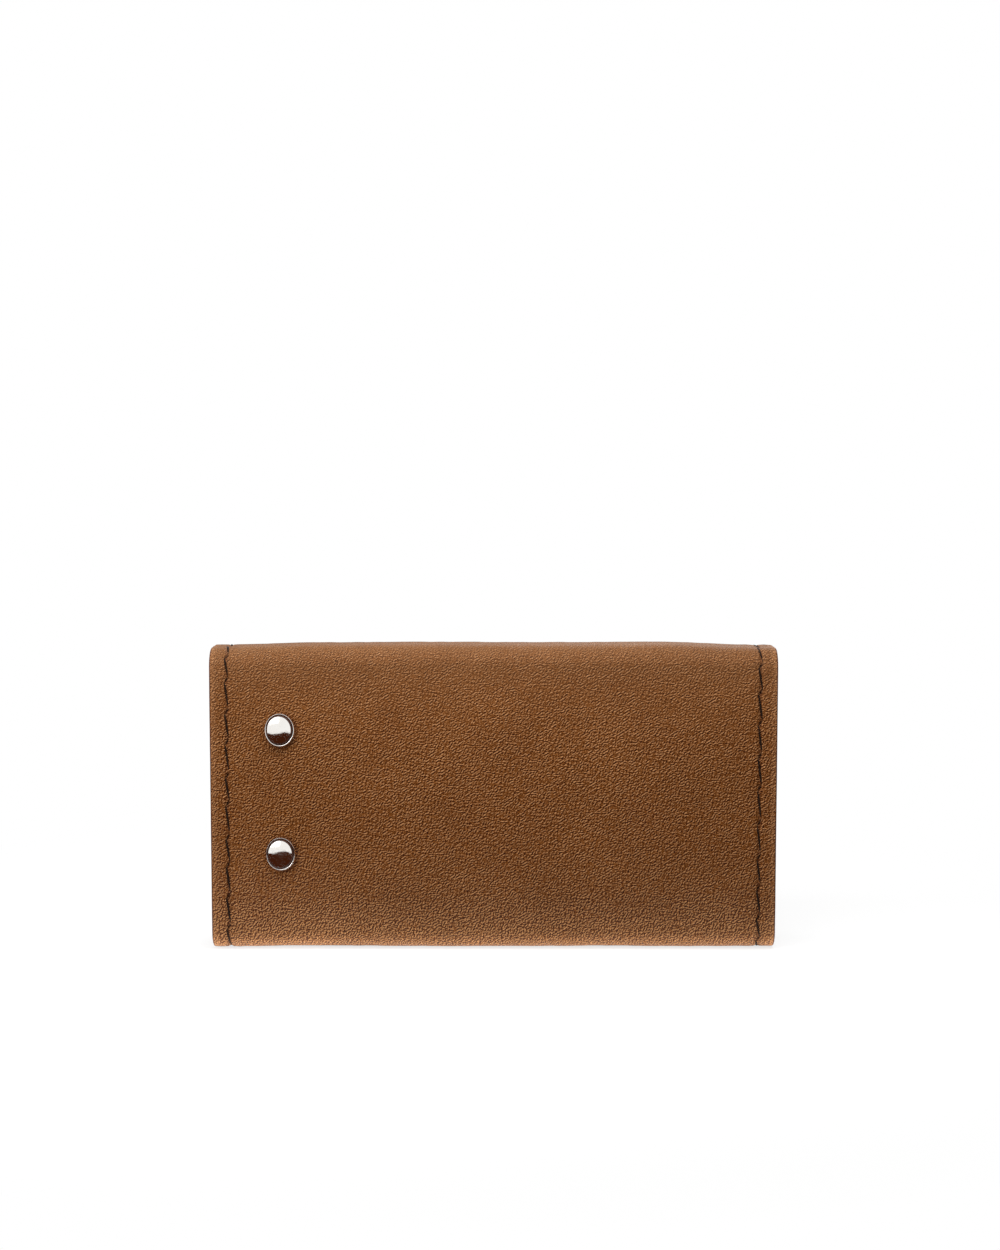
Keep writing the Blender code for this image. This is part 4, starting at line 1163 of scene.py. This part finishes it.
cap_low, cap_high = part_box("snap_cap")
CAP_RADIUS = (cap_high.x - cap_low.x) / 2
CAP_RISE = cap_high.y - FRONT
CAP_PROFILE = [(CAP_RADIUS * STUD_FACE * t, CAP_RISE - STUD_DOME * t**2.6) for t in np.linspace(0, 1, 12)]
CAP_PROFILE += [
    (CAP_RADIUS * (STUD_FACE + 0.14 * math.sin(a)), 0.25 * MM + (CAP_RISE - 0.47 * MM) * math.cos(a))
    for a in np.linspace(0.12, math.pi / 2, 9)
]
CAP_PROFILE += [(CAP_RADIUS * 0.985, 0.05 * MM), (CAP_RADIUS * 0.93, -STUD_SEAT), (0, -STUD_SEAT)]
seated("press_stud_cap", "snap_cap", "front_flap", CAP_PROFILE, 1, NICKEL, FRONT)
dressed("snap_socket", "front_flap", 0.2 * MM, NICKEL)
dressed("snap_stud", "inner_flap", 0.15 * MM, NICKEL)
dressed("snap_post", "inner_flap", 0.15 * MM, NICKEL)

dressed("key_rail", "back", 0.18 * MM, SATIN_STEEL)
for number in range(1, 5):
    dressed(f"hook_{number}", f"swivel_hook_{number}", 0.45 * MM, NICKEL)
    dressed(f"gate_{number}", f"sprung_gate_{number}", 0.2 * MM, SATIN_STEEL)
    dressed(f"gate_pin_{number}", f"swivel_hook_{number}", 0.08 * MM, SATIN_STEEL)


# The studio


def glow(tree, colour):
    return node(tree, "ShaderNodeEmission", {"Color": colour, "Strength": 1.0}).outputs[0]


def seen(tree):
    """1 for what the camera sees, straight or in a reflection, and 0 for what only gives light."""
    rays = node(tree, "ShaderNodeLightPath").outputs
    indirect = maths(tree, "MAXIMUM", rays["Is Glossy Ray"], rays["Is Transmission Ray"])
    return maths(tree, "MAXIMUM", rays["Is Camera Ray"], indirect)


def build_card(name, colour):
    made, tree = new_material(name)
    tree.nodes.remove(tree.nodes["Principled BSDF"])
    tree.links.new(glow(tree, colour), tree.nodes["Material Output"].inputs["Surface"])
    return made


def build_floor():
    made, tree = new_material("white_table", Base_Color=GREY_WHITE, Roughness=0.9, Specular_IOR_Level=0.1)
    where = node(tree, "ShaderNodeTexCoord").outputs["Object"]
    from_middle = node(tree, "ShaderNodeVectorMath", {0: where}, operation="LENGTH").outputs["Value"]
    share = times(tree, seen(tree), spread(tree, from_middle, 0.06, 0.16, 0.75, 1.0))
    shaders = {0: share, 1: tree.nodes["Principled BSDF"].outputs[0], 2: glow(tree, WHITE)}
    mix = node(tree, "ShaderNodeMixShader", shaders)
    tree.links.new(mix.outputs[0], tree.nodes["Material Output"].inputs["Surface"])
    return made


def sheet_of(name, corners, material):
    mesh = bpy.data.meshes.new(name)
    mesh.from_pydata(corners, [], [tuple(range(len(corners)))])
    made = link(name, mesh, material)
    return made


WHITE = (1, 1, 1, 1)
GREY_WHITE = (0.86, 0.86, 0.86, 1)
HALF_TABLE = 3.0
table_corners = [(HALF_TABLE * x, HALF_TABLE * y, 0) for x, y in ((-1, -1), (1, -1), (1, 1), (-1, 1))]
sheet_of("table_top", table_corners, build_floor())

# Cards that only reflections show, for the metal's dark lower half
DARK_BROWN = build_card("dark_brown", (0.05, 0.012, 0.004, 1))
HUMP = ((-0.11, MM), (0.03, MM), (0, 10 * MM), (-0.03, 15 * MM), (-0.06, 10 * MM))
for name, corners in (
    ("lying_card", [(-0.2, -0.2, MM), (0.06, -0.2, MM), (0.06, -0.035, MM), (-0.2, -0.035, MM)]),
    ("standing_card", [(x, -0.2, z) for x, z in HUMP]),
    ("rear_card", [(-0.06, 0.035, MM), (0.2, 0.035, MM), (0.2, 0.2, MM), (-0.06, 0.2, MM)]),
    ("side_card", [(-0.26, -0.2, MM), (-0.26, -0.02, MM), (-0.26, -0.02, 0.25), (-0.26, -0.2, 0.25)]),
):
    card = sheet_of(name, corners, DARK_BROWN)
    card.visible_camera = card.visible_diffuse = card.visible_shadow = card.visible_transmission = False


def softbox(name, place_at, aim, width, height, watts):
    light = bpy.data.lights.new(name, "AREA")
    light.shape = "RECTANGLE"
    light.size, light.size_y = width, height
    light.energy = watts
    made = link(name, light)
    made.location = place_at
    made.rotation_euler = (Vector(aim) - Vector(place_at)).to_track_quat("-Z", "Y").to_euler()
    made.visible_camera = False
    return made


MIDDLE = (0, 0, TOP / 2)
softbox("key_light", (-0.22, -0.14, 0.14), (0, BACK, 0.8 * TOP), 0.12, 0.12, 0.42)
softbox("overhead_light", (0, -0.04, 0.12), (0, BACK, TOP / 2), 0.2, 0.03, 0.23)
softbox("front_light", (-0.35, -0.75, 0.35), MIDDLE, 0.5, 0.5, 1.05)
# Just above the table under the lower fold, shining straight up
FOOT_LIGHTS = (("foot_light", -0.006, 0.15, 0.0131), ("foot_light_left", -0.05, 0.026, 0.0075))
for name, x, width, watts in FOOT_LIGHTS:
    softbox(name, (x, -0.0098, 0.15 * MM), MIDDLE, width, 0.008, watts).rotation_euler = (math.pi, 0, 0)
softbox("back_light", (0.2, 0.6, 0.5), MIDDLE, 0.5, 0.4, 4.4)
softbox("left_light", (-0.5, 0.25, 0.25), MIDDLE, 0.4, 0.4, 1.2)
softbox("right_light", (0.5, 0.25, 0.25), MIDDLE, 0.4, 0.4, 0.9)

world = bpy.data.worlds.new("room")
bpy.context.scene.world = world
world.use_nodes = True
room = world.node_tree
background = room.nodes["Background"].inputs
feed(room, background["Color"], WHITE)
feed(room, background["Strength"], spread(room, seen(room), 0.0, 1.0, 0.1, 1.0))


# The camera

LENS = 59.4
DISTANCE = 0.42
ELEVATION = math.radians(9.9)
PITCH = math.radians(5.07)
BESIDE = 1.3 * MM

camera = bpy.data.cameras.new("camera")
camera.lens = LENS
camera.sensor_width = 36
camera.clip_start = 0.01
eye = link("camera", camera)
looked_at = Vector((BESIDE, BACK, TOP / 2))
eye.location = looked_at + DISTANCE * Vector((0, -math.cos(ELEVATION), math.sin(ELEVATION)))
eye.rotation_euler = (math.pi / 2 - PITCH, 0, 0)
bpy.context.scene.camera = eye
bpy.context.scene.view_settings.view_transform = "Standard"
